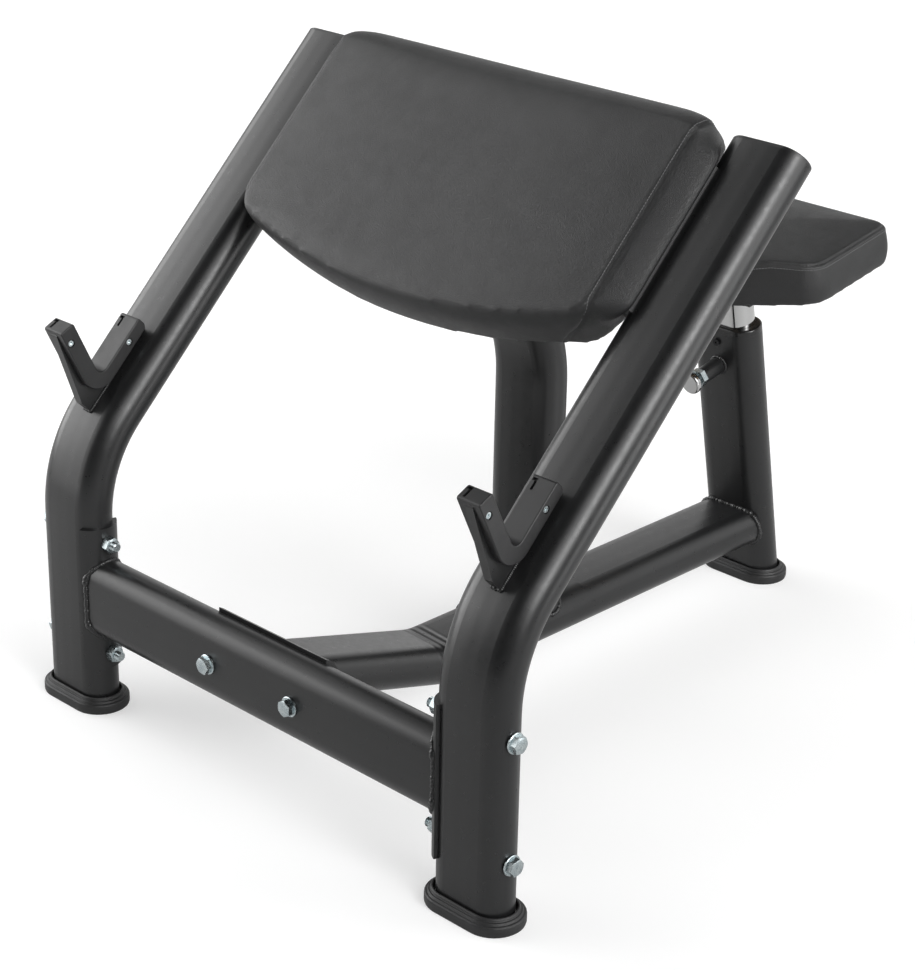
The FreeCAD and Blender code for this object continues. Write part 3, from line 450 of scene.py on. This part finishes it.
# Frame bolts: zinc-plated M12 hexagon bolts with flat washers and nuts, through the saddles.
# Heads and nuts are chamfered, the bolt ends show their thread beyond the nuts.
zinc_dull, zinc_bright = (0.42, 0.48, 0.50), (0.58, 0.64, 0.65)
zinc_plate, tree, surface = shader("zinc_plate")
dress(tree, surface, Metallic=1.0,
      Base_Color=two_tone(tree, grain(tree, scale=120.0, detail=4.0), zinc_dull, zinc_bright),
      Roughness=shift_range(tree, grain(tree, scale=500.0, detail=3.0), low=0.18, high=0.34),
      Normal=relief(tree, grain(tree, scale=900.0), strength=0.10, depth=0.0002))
round_steps = 48
crest_share, chamfer_slope = 0.95, math.tan(math.radians(28))
bolt_flats, head_height, nut_height = 0.018, 0.0075, 0.010
washer_profile = [(0.0113, 0.0), (0.0120, 0.0005), (0.0120, 0.0020), (0.0113, 0.0025)]
shank_radius, thread_radius, thread_pitch = 0.0059, 0.006, 0.00175
thread_start, thread_end = 0.009, 0.018
thread_root, thread_tip = 0.86, 0.80
bolt_sharp = 32


def ring_points(radius_at, height_at):
    points = []
    for step in range(round_steps):
        angle = math.tau * step / round_steps
        radius = radius_at(angle)
        points.append(Vector((radius * math.cos(angle), radius * math.sin(angle), height_at(radius))))
    return points


def hexagon_radius(flats):
    return lambda angle: flats / 2 / math.cos((angle + math.pi / 6) % (math.pi / 3) - math.pi / 6)


def same_radius(radius):
    return lambda angle: radius


def same_height(height):
    return lambda radius: height


def hexagon_block(shape, flats, low, high, both_chamfered):
    upwards = high > low
    low, high = min(low, high), max(low, high)
    crest = flats / 2 * crest_share
    outer = hexagon_radius(flats)
    upper = [ring_points(outer, lambda radius: high - (radius - crest) * chamfer_slope),
             ring_points(same_radius(crest), same_height(high))]
    lower = [ring_points(same_radius(crest), same_height(low)),
             ring_points(outer, lambda radius: low + (radius - crest) * chamfer_slope)]
    if not both_chamfered and upwards:
        lower = [ring_points(outer, same_height(low))]
    if not both_chamfered and not upwards:
        upper = [ring_points(outer, same_height(high))]
    skin_rings(shape, lower + upper)


def turned_rod(shape, profile):
    skin_rings(shape, [ring_points(same_radius(radius), same_height(height)) for radius, height in profile])


def threaded_end(shape, radius, low, high, pitch):
    root = radius * thread_root
    profile = [(root, low)]
    height = low
    while height + pitch < high:
        profile += [(root, height + pitch * 0.1), (radius, height + pitch * 0.5)]
        height += pitch
    profile += [(root, height), (radius * thread_tip, high)]
    turned_rod(shape, profile)


def bolt_template(name, grip):
    shape = bmesh.new()
    hexagon_block(shape, bolt_flats, 0.0, -head_height, False)
    turned_rod(shape, washer_profile)
    turned_rod(shape, [(shank_radius, 0.0), (shank_radius, grip)])
    hexagon_block(shape, bolt_flats, grip, grip + nut_height, True)
    threaded_end(shape, thread_radius, grip + thread_start, grip + thread_end, thread_pitch)
    return bpy.data.objects.new(name, finished_mesh(name, shape))


set_tree, set_in = growth("fastener_sets", [
    ("Fastener", "Object", None), ("Size", "Float", 1.0), ("Turn", "Float", math.pi / 3), ("Seed", "Int", 2)])
set_way = add(set_tree, "GeometryNodeInputNamedAttribute", {"data_type": "FLOAT_VECTOR"}, Name="way")
set_turn = add(set_tree, "FunctionNodeAlignRotationToVector", {"axis": "Z"}, Vector=set_way.outputs[0])
set_spin = add(set_tree, "FunctionNodeRandomValue", {"data_type": "FLOAT"}, _3=set_in["Turn"],
               Seed=set_in["Seed"])
set_axis = add(set_tree, "FunctionNodeAxisAngleToRotation", None, Axis=(0, 0, 1), Angle=set_spin.outputs[1])
set_twist = add(set_tree, "FunctionNodeRotateRotation", {"rotation_space": "LOCAL"},
                Rotation=set_turn.outputs[0], Rotate_By=set_axis.outputs[0])
set_shape = add(set_tree, "GeometryNodeObjectInfo", None, Object=set_in["Fastener"])
set_row = add(set_tree, "GeometryNodeInstanceOnPoints", None, Points=set_in["Geometry"],
              Instance=set_shape.outputs["Geometry"], Rotation=set_twist.outputs[0], Scale=set_in["Size"])
close_growth(set_tree, set_row.outputs[0], zinc_plate)


def fasteners(name, shape, places, seed):
    mesh = bpy.data.meshes.new(name)
    mesh.from_pydata([place for place, way in places], [], [])
    ways = mesh.attributes.new("way", "FLOAT_VECTOR", "POINT")
    for item, (place, way) in zip(ways.data, places):
        item.vector = way
    piece = grown_piece(name, mesh, set_tree, {"Fastener": shape, "Seed": seed}, bolt_sharp)
    bpy.data.objects.remove(shape)
    return piece


saddle_grip, saddle_head, saddle_heights = 0.1075, 0.389, (0.079, 0.225)
saddle_places = [(Vector((side * saddle_head, axis_depth, height)), X * -side)
                 for side in (-1, 1) for height in saddle_heights]
saddle_sets = fasteners("saddle_bolt_sets", bolt_template("saddle_bolt", saddle_grip), saddle_places, 4)
on_body(saddle_sets, "frame", "zinc",
        "left_saddle_bolts", "right_saddle_bolts", "saddle_washers", "saddle_nuts")
spine_grip, spine_head, spine_bolt_across = 0.0575, 0.0275, (-0.070, 0.070)
spine_places = [(Vector((across, axis_depth - spine_head, beam_height)), Y) for across in spine_bolt_across]
spine_sets = fasteners("spine_bolt_sets", bolt_template("spine_bolt", spine_grip), spine_places, 9)
on_body(spine_sets, "frame", "zinc", "spine_bolts", "spine_washers", "spine_nuts")


# Pull pin: a zinc-plated plunger in a welded boss, locked by a thin nut, with a chromed knob.
# A black-oxide socket screw above it holds the collar in the tube.
chrome_dull, chrome_bright = (0.56, 0.56, 0.56), (0.64, 0.64, 0.635)
chrome_plate, tree, surface = shader("chrome_plate")
dress(tree, surface, Metallic=1.0,
      Base_Color=two_tone(tree, grain(tree, scale=18.0, detail=3.0), chrome_dull, chrome_bright),
      Roughness=shift_range(tree, grain(tree, scale=220.0, detail=4.0), low=0.05, high=0.11))
oxide_black, oxide_grey = (0.010, 0.010, 0.011), (0.022, 0.022, 0.024)
black_oxide, tree, surface = shader("black_oxide")
dress(tree, surface, Metallic=0.6,
      Base_Color=two_tone(tree, grain(tree, scale=300.0, detail=3.0), oxide_black, oxide_grey),
      Roughness=shift_range(tree, grain(tree, scale=400.0, detail=3.0), low=0.30, high=0.45))
finish_nodes(["pin_knob"], chrome_plate)
finish_nodes(["pin_lock_nut", "plunger_pin"], zinc_plate)
finish_nodes(["collar_screw"], black_oxide)


# Seat post: a flat-oval steel tube, chromed and polished, that slides in the collar.
# Its top is welded to the seat plate, and a plastic guide closes its lower end inside the post.
finish_nodes(["seat_tube"], chrome_plate)


# Seat: a plywood board screwed to a welded plate, with a foam cushion under black vinyl.
# The vinyl is sewn from a top panel and a side band, the seam is top-stitched below its edge.
seat_tilt = math.radians(10.0)
seat_on_post = 0.453
seat_start = on_post(0, seat_on_post, 0)


def on_seat(across, depth, height):
    return seat_start + Vector((across, depth * math.cos(seat_tilt) - height * math.sin(seat_tilt),
                                depth * math.sin(seat_tilt) + height * math.cos(seat_tilt)))


wood_dark, wood_light = (0.33, 0.22, 0.12), (0.52, 0.38, 0.24)
plywood, tree, surface = shader("plywood")
place = add(tree, "ShaderNodeTexCoord")
stretch = add(tree, "ShaderNodeMapping", None, Vector=place.outputs["Object"], Scale=(6.0, 70.0, 70.0))
figure = add(tree, "ShaderNodeTexNoise", None, Vector=stretch.outputs[0], Scale=1.6, Detail=6.0,
             Distortion=0.6).outputs["Fac"]
dress(tree, surface, Base_Color=two_tone(tree, figure, wood_dark, wood_light),
      Roughness=shift_range(tree, figure, low=0.55, high=0.75),
      Normal=relief(tree, figure, strength=0.2, depth=0.0004))
finish_nodes(["seat_board", "pad_board"], plywood)

vinyl_black, vinyl_grey = (0.013, 0.0132, 0.0136), (0.019, 0.0192, 0.0196)
black_vinyl, tree, surface = shader("black_vinyl")
place = add(tree, "ShaderNodeTexCoord")
sway = add(tree, "ShaderNodeTexNoise", None, Vector=place.outputs["Object"], Scale=220.0, Detail=2.0)
bent = add(tree, "ShaderNodeMix", {"data_type": "VECTOR"}, Factor=0.004, _4=place.outputs["Object"],
           _5=sway.outputs["Color"])
cells = add(tree, "ShaderNodeTexVoronoi", {"feature": "DISTANCE_TO_EDGE"}, Vector=bent.outputs[1],
            Scale=620.0)
creases = shift_range(tree, cells.outputs["Distance"], 0.0, 1.0, start=0.0, end=0.22)
pores = relief(tree, creases, strength=0.45, depth=0.0004)
pores = relief(tree, grain(tree, scale=2200.0), strength=0.10, depth=0.0002, under=pores)
dress(tree, surface, Normal=pores,
      Base_Color=two_tone(tree, grain(tree, scale=10.0, detail=4.0), vinyl_black, vinyl_grey),
      Roughness=shift_range(tree, grain(tree, scale=45.0, detail=4.0), low=0.42, high=0.50))

# The thread's own colour is dark grey. It is coloured mid grey here, and that extra lightness is a painted
# highlight for the glints along the stitches.
thread_painted_glint_dark, thread_painted_glint_light = (0.10, 0.10, 0.102), (0.15, 0.15, 0.153)
stitch_thread, tree, surface = shader("stitch_thread")
dress(tree, surface, Roughness=0.6,
      Base_Color=two_tone(tree, grain(tree, scale=900.0), thread_painted_glint_dark, thread_painted_glint_light))


def nearest_on(tree, points, lift):
    places = []
    for point in points:
        spot, normal = tree.find_nearest(point)[:2]
        places.append(spot + normal * lift)
    return places


def plain_copy(node, name, grow):
    shape = bmesh.new()
    shape.from_mesh(nodes[node].data)
    bmesh.ops.remove_doubles(shape, verts=shape.verts, dist=0.00001)
    bmesh.ops.recalc_face_normals(shape, faces=shape.faces)
    shape.normal_update()
    for vert, move in [(vert, vert.normal * grow) for vert in shape.verts]:
        vert.co += move
    mesh = bpy.data.meshes.new(name)
    shape.to_mesh(mesh)
    shape.free()
    return put_in_scene(name, mesh)


def settle(piece):
    ready = piece.evaluated_get(bpy.context.evaluated_depsgraph_get())
    mesh = bpy.data.meshes.new_from_object(ready)
    piece.modifiers.clear()
    old = piece.data
    piece.data = mesh
    bpy.data.meshes.remove(old)


def relax(mesh, rounds, factor, shares=None):
    shape = bmesh.new()
    shape.from_mesh(mesh)
    soft = shape.verts[:]
    if shares is not None:
        soft = [vert for vert, share in zip(shape.verts, shares) if share > 0.5]
    for turn in range(rounds):
        bmesh.ops.smooth_vert(shape, verts=soft, factor=factor,
                              use_axis_x=True, use_axis_y=True, use_axis_z=True)
    shape.to_mesh(mesh)
    shape.free()


def even_mesh(piece, voxel, rounds):
    remesh = piece.modifiers.new("even", "REMESH")
    remesh.mode = "VOXEL"
    remesh.voxel_size = voxel
    settle(piece)
    relax(piece.data, rounds, factor=0.5)


def line_distance(lines):
    points = [point for line in lines for point in line]
    near = KDTree(len(points))
    for number, point in enumerate(points):
        near.insert(point, number)
    near.balance()
    return lambda place: near.find(place)[2]


seam_hold = 0.0045
cloth_frames, calm_rounds = 20, 16


def fill_out(piece, seam_lines, rests, cap):
    start = [vert.co.copy() for vert in piece.data.vertices]
    off_seam = line_distance(seam_lines)
    held = piece.vertex_groups.new(name="held")
    for number, point in enumerate(start):
        if off_seam(point) < seam_hold or rests(point):
            held.add([number], 1.0, "REPLACE")
    cloth = piece.modifiers.new("cloth", "CLOTH")
    cloth.settings.quality = 5
    cloth.settings.mass = 0.3
    cloth.settings.tension_stiffness = 30
    cloth.settings.compression_stiffness = 30
    cloth.settings.shear_stiffness = 15
    cloth.settings.bending_stiffness = 8
    cloth.settings.use_pressure = True
    cloth.settings.uniform_pressure_force = 4.0
    cloth.settings.vertex_group_mass = "held"
    cloth.settings.effector_weights.gravity = 0
    cloth.collision_settings.use_collision = False
    cloth.point_cache.frame_start = 1
    cloth.point_cache.frame_end = cloth_frames
    for number in range(1, cloth_frames + 1):
        bpy.context.scene.frame_set(number)
    settle(piece)
    bpy.context.scene.frame_set(1)
    piece.vertex_groups.clear()
    moves = []
    for vert, before in zip(piece.data.vertices, start):
        move = vert.co - before
        moves.append(move.normalized() * (cap * math.tanh(move.length / cap)))
    beside = [[] for point in start]
    for edge in piece.data.edges:
        first, second = edge.vertices
        beside[first].append(second)
        beside[second].append(first)
    for turn in range(calm_rounds):
        moves = [(move + sum((moves[number] for number in near), Vector()) / len(near)) / 2
                 for move, near in zip(moves, beside)]
    for vert, before, move in zip(piece.data.vertices, start, moves):
        vert.co = before + move


seam_reach, seam_fade = 0.0025, 2.5
pucker_share, pucker_scale = 0.35, 90.0


def sew(piece, seam_lines, depth):
    smooth = piece.modifiers.new("smooth", "SUBSURF")
    smooth.levels = 1
    smooth.render_levels = 1
    settle(piece)
    skin = mesh_tree(piece.data)
    off_seam = line_distance([nearest_on(skin, line, 0.0) for line in seam_lines])
    for vert, normal in zip(piece.data.vertices, [v.normal.copy() for v in piece.data.vertices]):
        gap = off_seam(vert.co) / seam_reach
        if gap < seam_fade:
            pucker = 1.0 + pucker_share * noise.noise(vert.co * pucker_scale)
            vert.co -= normal * (depth * pucker * math.exp(-gap * gap))
    piece.data.shade_smooth()
    piece.data.materials.clear()
    piece.data.materials.append(black_vinyl)


def corner_outline(corners, radii, inset, arc_steps, side_step):
    count = len(corners)
    moved = []
    for number in range(count):
        here, last, following = corners[number], corners[number - 1], corners[(number + 1) % count]
        before = (here - last).normalized()
        after = (following - here).normalized()
        lean = Vector((-before.y - after.y, before.x + after.x)).normalized()
        moved.append(here + lean * (inset / lean.dot(Vector((-after.y, after.x)))))
    arcs = []
    for number in range(count):
        here = moved[number]
        before = (moved[number - 1] - here).normalized()
        after = (moved[(number + 1) % count] - here).normalized()
        half = before.angle(after) / 2
        radius = radii[number] - inset
        centre = here + (before + after).normalized() * (radius / math.sin(half))
        start = here + before * (radius / math.tan(half)) - centre
        end = here + after * (radius / math.tan(half)) - centre
        swing = start.angle_signed(end)
        arcs.append([centre + Matrix.Rotation(-swing * step / arc_steps, 2) @ start
                     for step in range(arc_steps + 1)])
    outline = []
    for number in range(count):
        outline += arcs[number]
        start, end = arcs[number][-1], arcs[(number + 1) % count][0]
        steps = max(1, round((end - start).length / side_step))
        outline += [start.lerp(end, step / steps) for step in range(1, steps)]
    return outline


seat_corners = [Vector(pair) for pair in ((0.152, 0.002), (0.152, 0.157), (-0.152, 0.157), (-0.152, 0.002),
                                          (-0.050, -0.064), (0.050, -0.064))]
seat_radii = [0.046, 0.015, 0.015, 0.046, 0.032, 0.032]
seat_side_height, seat_crown = 0.051, 0.016
crown_half_wide, crown_middle, crown_half_long = 0.172, 0.0465, 0.1305
line_step, arc_steps = 0.003, 10


def seat_line(inset, drop):
    line = []
    for point in corner_outline(seat_corners, seat_radii, inset, arc_steps, line_step):
        across = 1 - (point.x / crown_half_wide) ** 2
        along = 1 - ((point.y - crown_middle) / crown_half_long) ** 2
        height = seat_side_height + seat_crown * min(across, along)
        line.append(on_seat(point.x, point.y, height - drop))
    return line


seat_seam = seat_line(inset=0.0038, drop=0.0)
seat_stitch_guess = seat_line(inset=0.0010, drop=0.0060)
seat_board_top = 0.016


def seat_rests(point):
    local = point - seat_start
    return local.z * math.cos(seat_tilt) - local.y * math.sin(seat_tilt) < seat_board_top


remesh_loss, stitch_lift = 0.0008, 0.0001
seat_pad = plain_copy("seat_cushion", "seat_pad", remesh_loss)
even_mesh(seat_pad, voxel=0.0036, rounds=2)
fill_out(seat_pad, [seat_seam], seat_rests, cap=0.003)
sew(seat_pad, [seat_seam], depth=0.0020)
on_body(seat_pad, "seat", "upholstery", "seat_cushion")

stitch_tree, stitch_in = growth("stitch_row", [
    ("Stitch length", "Float", 0.0034), ("Stitch pitch", "Float", 0.0038),
    ("Thread radius", "Float", 0.00055)])
stitch_half = reckon(stitch_tree, "MULTIPLY", stitch_in["Stitch length"], 0.5)
stitch_size = add(stitch_tree, "ShaderNodeCombineXYZ", None, X=stitch_in["Thread radius"],
                  Y=stitch_in["Thread radius"], Z=stitch_half)
stitch_bead = add(stitch_tree, "GeometryNodeMeshUVSphere", None, Segments=8, Rings=6, Radius=1.0)
stitch_row = row_along(stitch_tree, stitch_in["Geometry"], stitch_in["Stitch pitch"],
                       stitch_bead.outputs["Mesh"], stitch_size.outputs[0])
close_growth(stitch_tree, stitch_row, stitch_thread)


def stitches(name, cushion, lines, closed):
    skin = mesh_tree(cushion.data)
    laid = [(nearest_on(skin, line, stitch_lift), closed) for line in lines]
    return grown_piece(name, lines_mesh(name, laid), stitch_tree, {})


seat_stitches = stitches("seat_stitches", seat_pad, [seat_stitch_guess], True)
on_body(seat_stitches, "seat", "upholstery")


# Seat screws: four small zinc-plated hexagon screws with a thin flange,
# driven from below through the seat plate into the plywood board.
screw_flats, screw_head, screw_radius, screw_length = 0.013, 0.0053, 0.0039, 0.015
flange_profile = [(0.0088, -0.0002), (0.0090, 0.0), (0.0088, 0.0004)]


def screw_template(name):
    shape = bmesh.new()
    hexagon_block(shape, screw_flats, 0.0, -screw_head, False)
    turned_rod(shape, flange_profile)
    turned_rod(shape, [(screw_radius, 0.0), (screw_radius, screw_length)])
    return bpy.data.objects.new(name, finished_mesh(name, shape))


plate_depth, plate_underside = 0.022, -0.005
seat_way = on_seat(0, 0, 1) - on_seat(0, 0, 0)
seat_places = [(on_seat(across, plate_depth + step, plate_underside), seat_way)
               for across in (-0.056, 0.056) for step in (-0.046, 0.046)]
seat_bolts = fasteners("seat_bolts", screw_template("seat_bolt"), seat_places, 6)
on_body(seat_bolts, "seat", "zinc", "seat_screws")


# Arm pad: a wide plywood board on two brackets, foam and black vinyl.
# One panel of vinyl rolls over the top and the bottom edge; an end panel is sewn on at each side,
# its seam top-stitched on the front panel and pulled round the lower corner to the back.
pad_side, pad_face, pad_top, pad_roll = 0.276, 0.0602, 0.6180, 0.042
seam_back, roll_steps = -0.002, 24

# The straight run of the seam down the front panel, in millimetres up the slope.
seam_high, seam_low, seam_step = 572, 386, 4

# How the seam goes round the lower corner: inset from the side, place up the slope, place square to it,
# and whether the stitches are lifted there.
corner_turn = [(0.0, 0.386, 0.0602, 1), (0.0006, 0.376, 0.0592, 1), (0.004, 0.366, 0.0552, 1),
               (0.010, 0.357, 0.047, 1), (0.018, 0.350, 0.037, 0), (0.027, 0.344, 0.028, 0),
               (0.036, 0.340, 0.019, 0), (0.044, 0.338, 0.010, 0), (0.051, 0.336, 0.000, 0)]


def end_seam(inward, lift):
    across = pad_side - inward
    points = [on_slope(across, pad_top, seam_back)]
    for step in range(roll_steps + 1):
        angle = math.pi / 2 * (1 - step / roll_steps)
        points.append(on_slope(across, pad_top - pad_roll + (pad_roll + lift) * math.sin(angle),
                               pad_face - pad_roll + (pad_roll + lift) * math.cos(angle)))
    for along in range(seam_high, seam_low, -seam_step):
        points.append(on_slope(across, along / 1000, pad_face + lift))
    for inset, along, out, lifted in corner_turn:
        points.append(on_slope(across - inset, along, out + lift * lifted))
    return points


def fine_line(points, step):
    line = [points[0]]
    for start, end in zip(points, points[1:]):
        count = max(1, round((end - start).length / step))
        line += [start.lerp(end, number / count) for number in range(1, count + 1)]
    return line


def at_both_ends(line):
    return [line, [Vector((-point.x, point.y, point.z)) for point in line]]


pad_seams = at_both_ends(fine_line(end_seam(inward=0.0, lift=0.0), line_step))
pad_stitch_guess = at_both_ends(fine_line(end_seam(inward=0.0042, lift=0.0006), line_step))
pad_board_face = -0.0006


def pad_rests(point):
    return (point - on_slope(0, 0, 0)).dot(slope_out) < pad_board_face


def ease(value, start, end):
    share = min(1.0, max(0.0, (value - start) / (end - start)))
    return share * share * (3 - 2 * share)


# The end panels swell past the seams until they lie against the rounded edges of the uprights,
# and the upper corners hang a little lower than the middle of the top edge.
edge_across, edge_round, edge_blend = 0.3115, 0.0305, 0.006
corner_drop, corner_start, corner_wide, corner_rise = 0.006, 0.236, 0.042, (0.555, 0.600)
panel_edge, panel_foot, panel_top = (0.2735, 0.2775), (0.335, 0.390), (0.555, 0.610)
swell_run, top_slack = 0.030, 0.2


def swell_ends(piece, left, right):
    off_seam = line_distance(pad_seams)
    shares = []
    for vert in piece.data.vertices:
        local = vert.co - on_slope(0, 0, 0)
        along, out = local.dot(slope_up), local.dot(slope_out)
        reach = abs(vert.co.x)
        to_corner = min(1.0, max(0.0, reach - corner_start) / corner_wide)
        drop = corner_drop * to_corner ** 2 * ease(along, *corner_rise)
        share = ease(reach, *panel_edge) * ease(along, *panel_foot)
        shares.append(share)
        if share > 0:
            beside = Vector((math.copysign(pad_side, vert.co.x), vert.co.y, vert.co.z))
            swell, roundness = right if vert.co.x > 0 else left
            swell *= 1 - top_slack * ease(along, *panel_top)
            inward = min(1.0, off_seam(beside) / swell_run)
            full = pad_side + swell * inward * (1 + roundness - roundness * inward)
            on_tube = edge_across - math.sqrt(max(0.0, edge_round ** 2 - max(0.0, out) ** 2))
            turn = min(1.0, max(0.0, 0.5 + (on_tube - full) / (2 * edge_blend)))
            full = on_tube + (full - on_tube) * turn - edge_blend * turn * (1 - turn)
            reach += (max(reach, full) - reach) * share
        vert.co = Vector((math.copysign(reach, vert.co.x), vert.co.y, vert.co.z)) - slope_up * drop
    relax(piece.data, rounds=2, factor=0.4, shares=shares)


left_swell, right_swell = (0.026, 0.0), (0.040, 0.3)
arm_cushion = plain_copy("arm_pad", "arm_cushion", remesh_loss)
even_mesh(arm_cushion, voxel=0.0052, rounds=2)
fill_out(arm_cushion, pad_seams, pad_rests, cap=0.004)
swell_ends(arm_cushion, left_swell, right_swell)
sew(arm_cushion, pad_seams, depth=0.0022)
on_body(arm_cushion, "frame", "upholstery", "arm_pad")

pad_stitches = stitches("pad_stitches", arm_cushion, pad_stitch_guess, False)
on_body(pad_stitches, "frame", "upholstery")
bracket_face = -0.0116
pad_places = [(on_slope(across, upper_along + step, bracket_face), slope_out)
              for across in (-0.130, 0.130) for step in (-0.068, 0.068)]
pad_screws = fasteners("pad_screws", screw_template("pad_screw"), pad_places, 7)
on_body(pad_screws, "frame", "zinc", "pad_bolts")


# Bar rests: plastic liners in two arms round a welded hook plate, moulded with a slot in each end.
# Small zinc-plated screws through the arms hold each liner to its plate.
finish_nodes(["left_hook_liner", "right_hook_liner"], moulded_plastic)
finish_nodes(["left_liner_screws", "right_liner_screws"], zinc_plate)


# Studio: a pale floor without a horizon that shows as white, lit by soft boxes close to the object
# and by large soft panels further off. The strongest panel is on the right.
floor_grey, floor_radius = (0.60, 0.60, 0.60, 1), 40.0
glow_near, glow_far, glow_in_gloss = 0.43, 0.60, 0.2
glow_start, glow_end = 0.45, 1.10
floor_paint, tree, surface = shader("floor_paint")
tree.nodes.remove(surface)
chalk = add(tree, "ShaderNodeBsdfDiffuse", None, Color=floor_grey)
paths = add(tree, "ShaderNodeLightPath").outputs
dimmed = reckon(tree, "MULTIPLY", paths["Is Glossy Ray"], glow_in_gloss)
seen = reckon(tree, "MAXIMUM", paths["Is Camera Ray"], dimmed)
seen = reckon(tree, "MAXIMUM", seen, paths["Is Transmission Ray"])
place = add(tree, "ShaderNodeTexCoord")
away = add(tree, "ShaderNodeVectorMath", {"operation": "LENGTH"}, _0=place.outputs["Object"])
bright = shift_range(tree, away.outputs["Value"], glow_near, glow_far, glow_start, glow_end)
shown = reckon(tree, "MULTIPLY", seen, bright)
glow = add(tree, "ShaderNodeEmission", None, Color=(1, 1, 1, 1), Strength=shown)
both = add(tree, "ShaderNodeAddShader", None, _0=chalk.outputs[0], _1=glow.outputs[0])
tree.links.new(both.outputs[0], tree.nodes["Material Output"].inputs["Surface"])
floor_mesh = bpy.data.meshes.new("floor")
shape = bmesh.new()
bmesh.ops.create_circle(shape, cap_ends=True, segments=96, radius=floor_radius)
shape.to_mesh(floor_mesh)
shape.free()
floor_mesh.materials.append(floor_paint)
floor = put_in_scene("floor", floor_mesh)

# Each panel: turn from the front and rise in degrees, narrowness, strength.
panels = [(-75, 5, 20, 3.4), (-55, 25, 20, 1.7), (-75, 25, 20, 2.5), (-100, 25, 20, 0.9), (-90, 48, 14, 0.25),
          (58, 42, 40, 3.0), (85, 30, 40, 15.0), (120, 18, 15, 0.6), (150, 15, 12, 0.8), (212, 12, 12, 1.3)]
world = bpy.data.worlds.new("studio")
bpy.context.scene.world = world
world.use_nodes = True
tree = world.node_tree
place = add(tree, "ShaderNodeTexCoord")
total = 0.02
for turn, rise, narrowness, strength in panels:
    turn, rise = math.radians(turn), math.radians(rise)
    way = (math.sin(turn) * math.cos(rise), -math.cos(turn) * math.cos(rise), math.sin(rise))
    facing = add(tree, "ShaderNodeVectorMath", {"operation": "DOT_PRODUCT"}, _0=place.outputs["Generated"],
                 _1=way)
    front = reckon(tree, "MAXIMUM", facing.outputs["Value"], 0.0)
    spread = reckon(tree, "POWER", front, float(narrowness))
    total = reckon(tree, "MULTIPLY_ADD", spread, strength, total)
dress(tree, tree.nodes["Background"], Strength=total, Color=(1.0, 1.0, 1.0, 1))


def lamp(name, place, aim, wide, high, power):
    light = bpy.data.lights.new(name, "AREA")
    light.shape = "RECTANGLE"
    light.size = wide
    light.size_y = high
    light.energy = power
    holder = put_in_scene(name, light)
    holder.location = place
    holder.visible_camera = False
    holder.rotation_euler = (Vector(aim) - Vector(place)).to_track_quat("-Z", "Y").to_euler()


lamp("left_front_box", (-1.0, -1.3, 0.6), (-0.3, -0.4, 0.25), wide=0.8, high=1.0, power=3.4)
lamp("left_box", (-1.3, -0.4, 0.8), (-0.3, -0.1, 0.3), wide=0.9, high=1.1, power=2.4)
lamp("right_box", (1.3, 0.3, 0.6), (0.3, 0.0, 0.4), wide=0.5, high=1.1, power=4.6)
lamp("back_box", (0.5, 1.8, 0.9), (0.0, 0.2, 0.4), wide=1.2, high=1.2, power=4.2)

camera_place = (1.86343, -2.084014, 1.46026)
camera_turn, camera_rise, camera_roll = math.radians(43.95), math.radians(23.39), math.radians(1.15)
back = Vector((math.sin(camera_turn) * math.cos(camera_rise), -math.cos(camera_turn) * math.cos(camera_rise),
               math.sin(camera_rise)))
level = Vector((math.cos(camera_turn), math.sin(camera_turn), 0))
upward = back.cross(level)
right_way = level * math.cos(camera_roll) + upward * math.sin(camera_roll)
up_way = upward * math.cos(camera_roll) - level * math.sin(camera_roll)
camera_data = bpy.data.cameras.new("camera")
camera_data.sensor_width = 36.0
camera_data.lens = 90.835
camera_data.clip_end = 100.0
camera = put_in_scene("camera", camera_data)
camera.matrix_world = Matrix.Translation(camera_place) @ Matrix(
    (right_way, up_way, back)).transposed().to_4x4()
bpy.context.scene.camera = camera
bpy.context.scene.view_settings.view_transform = "Standard"
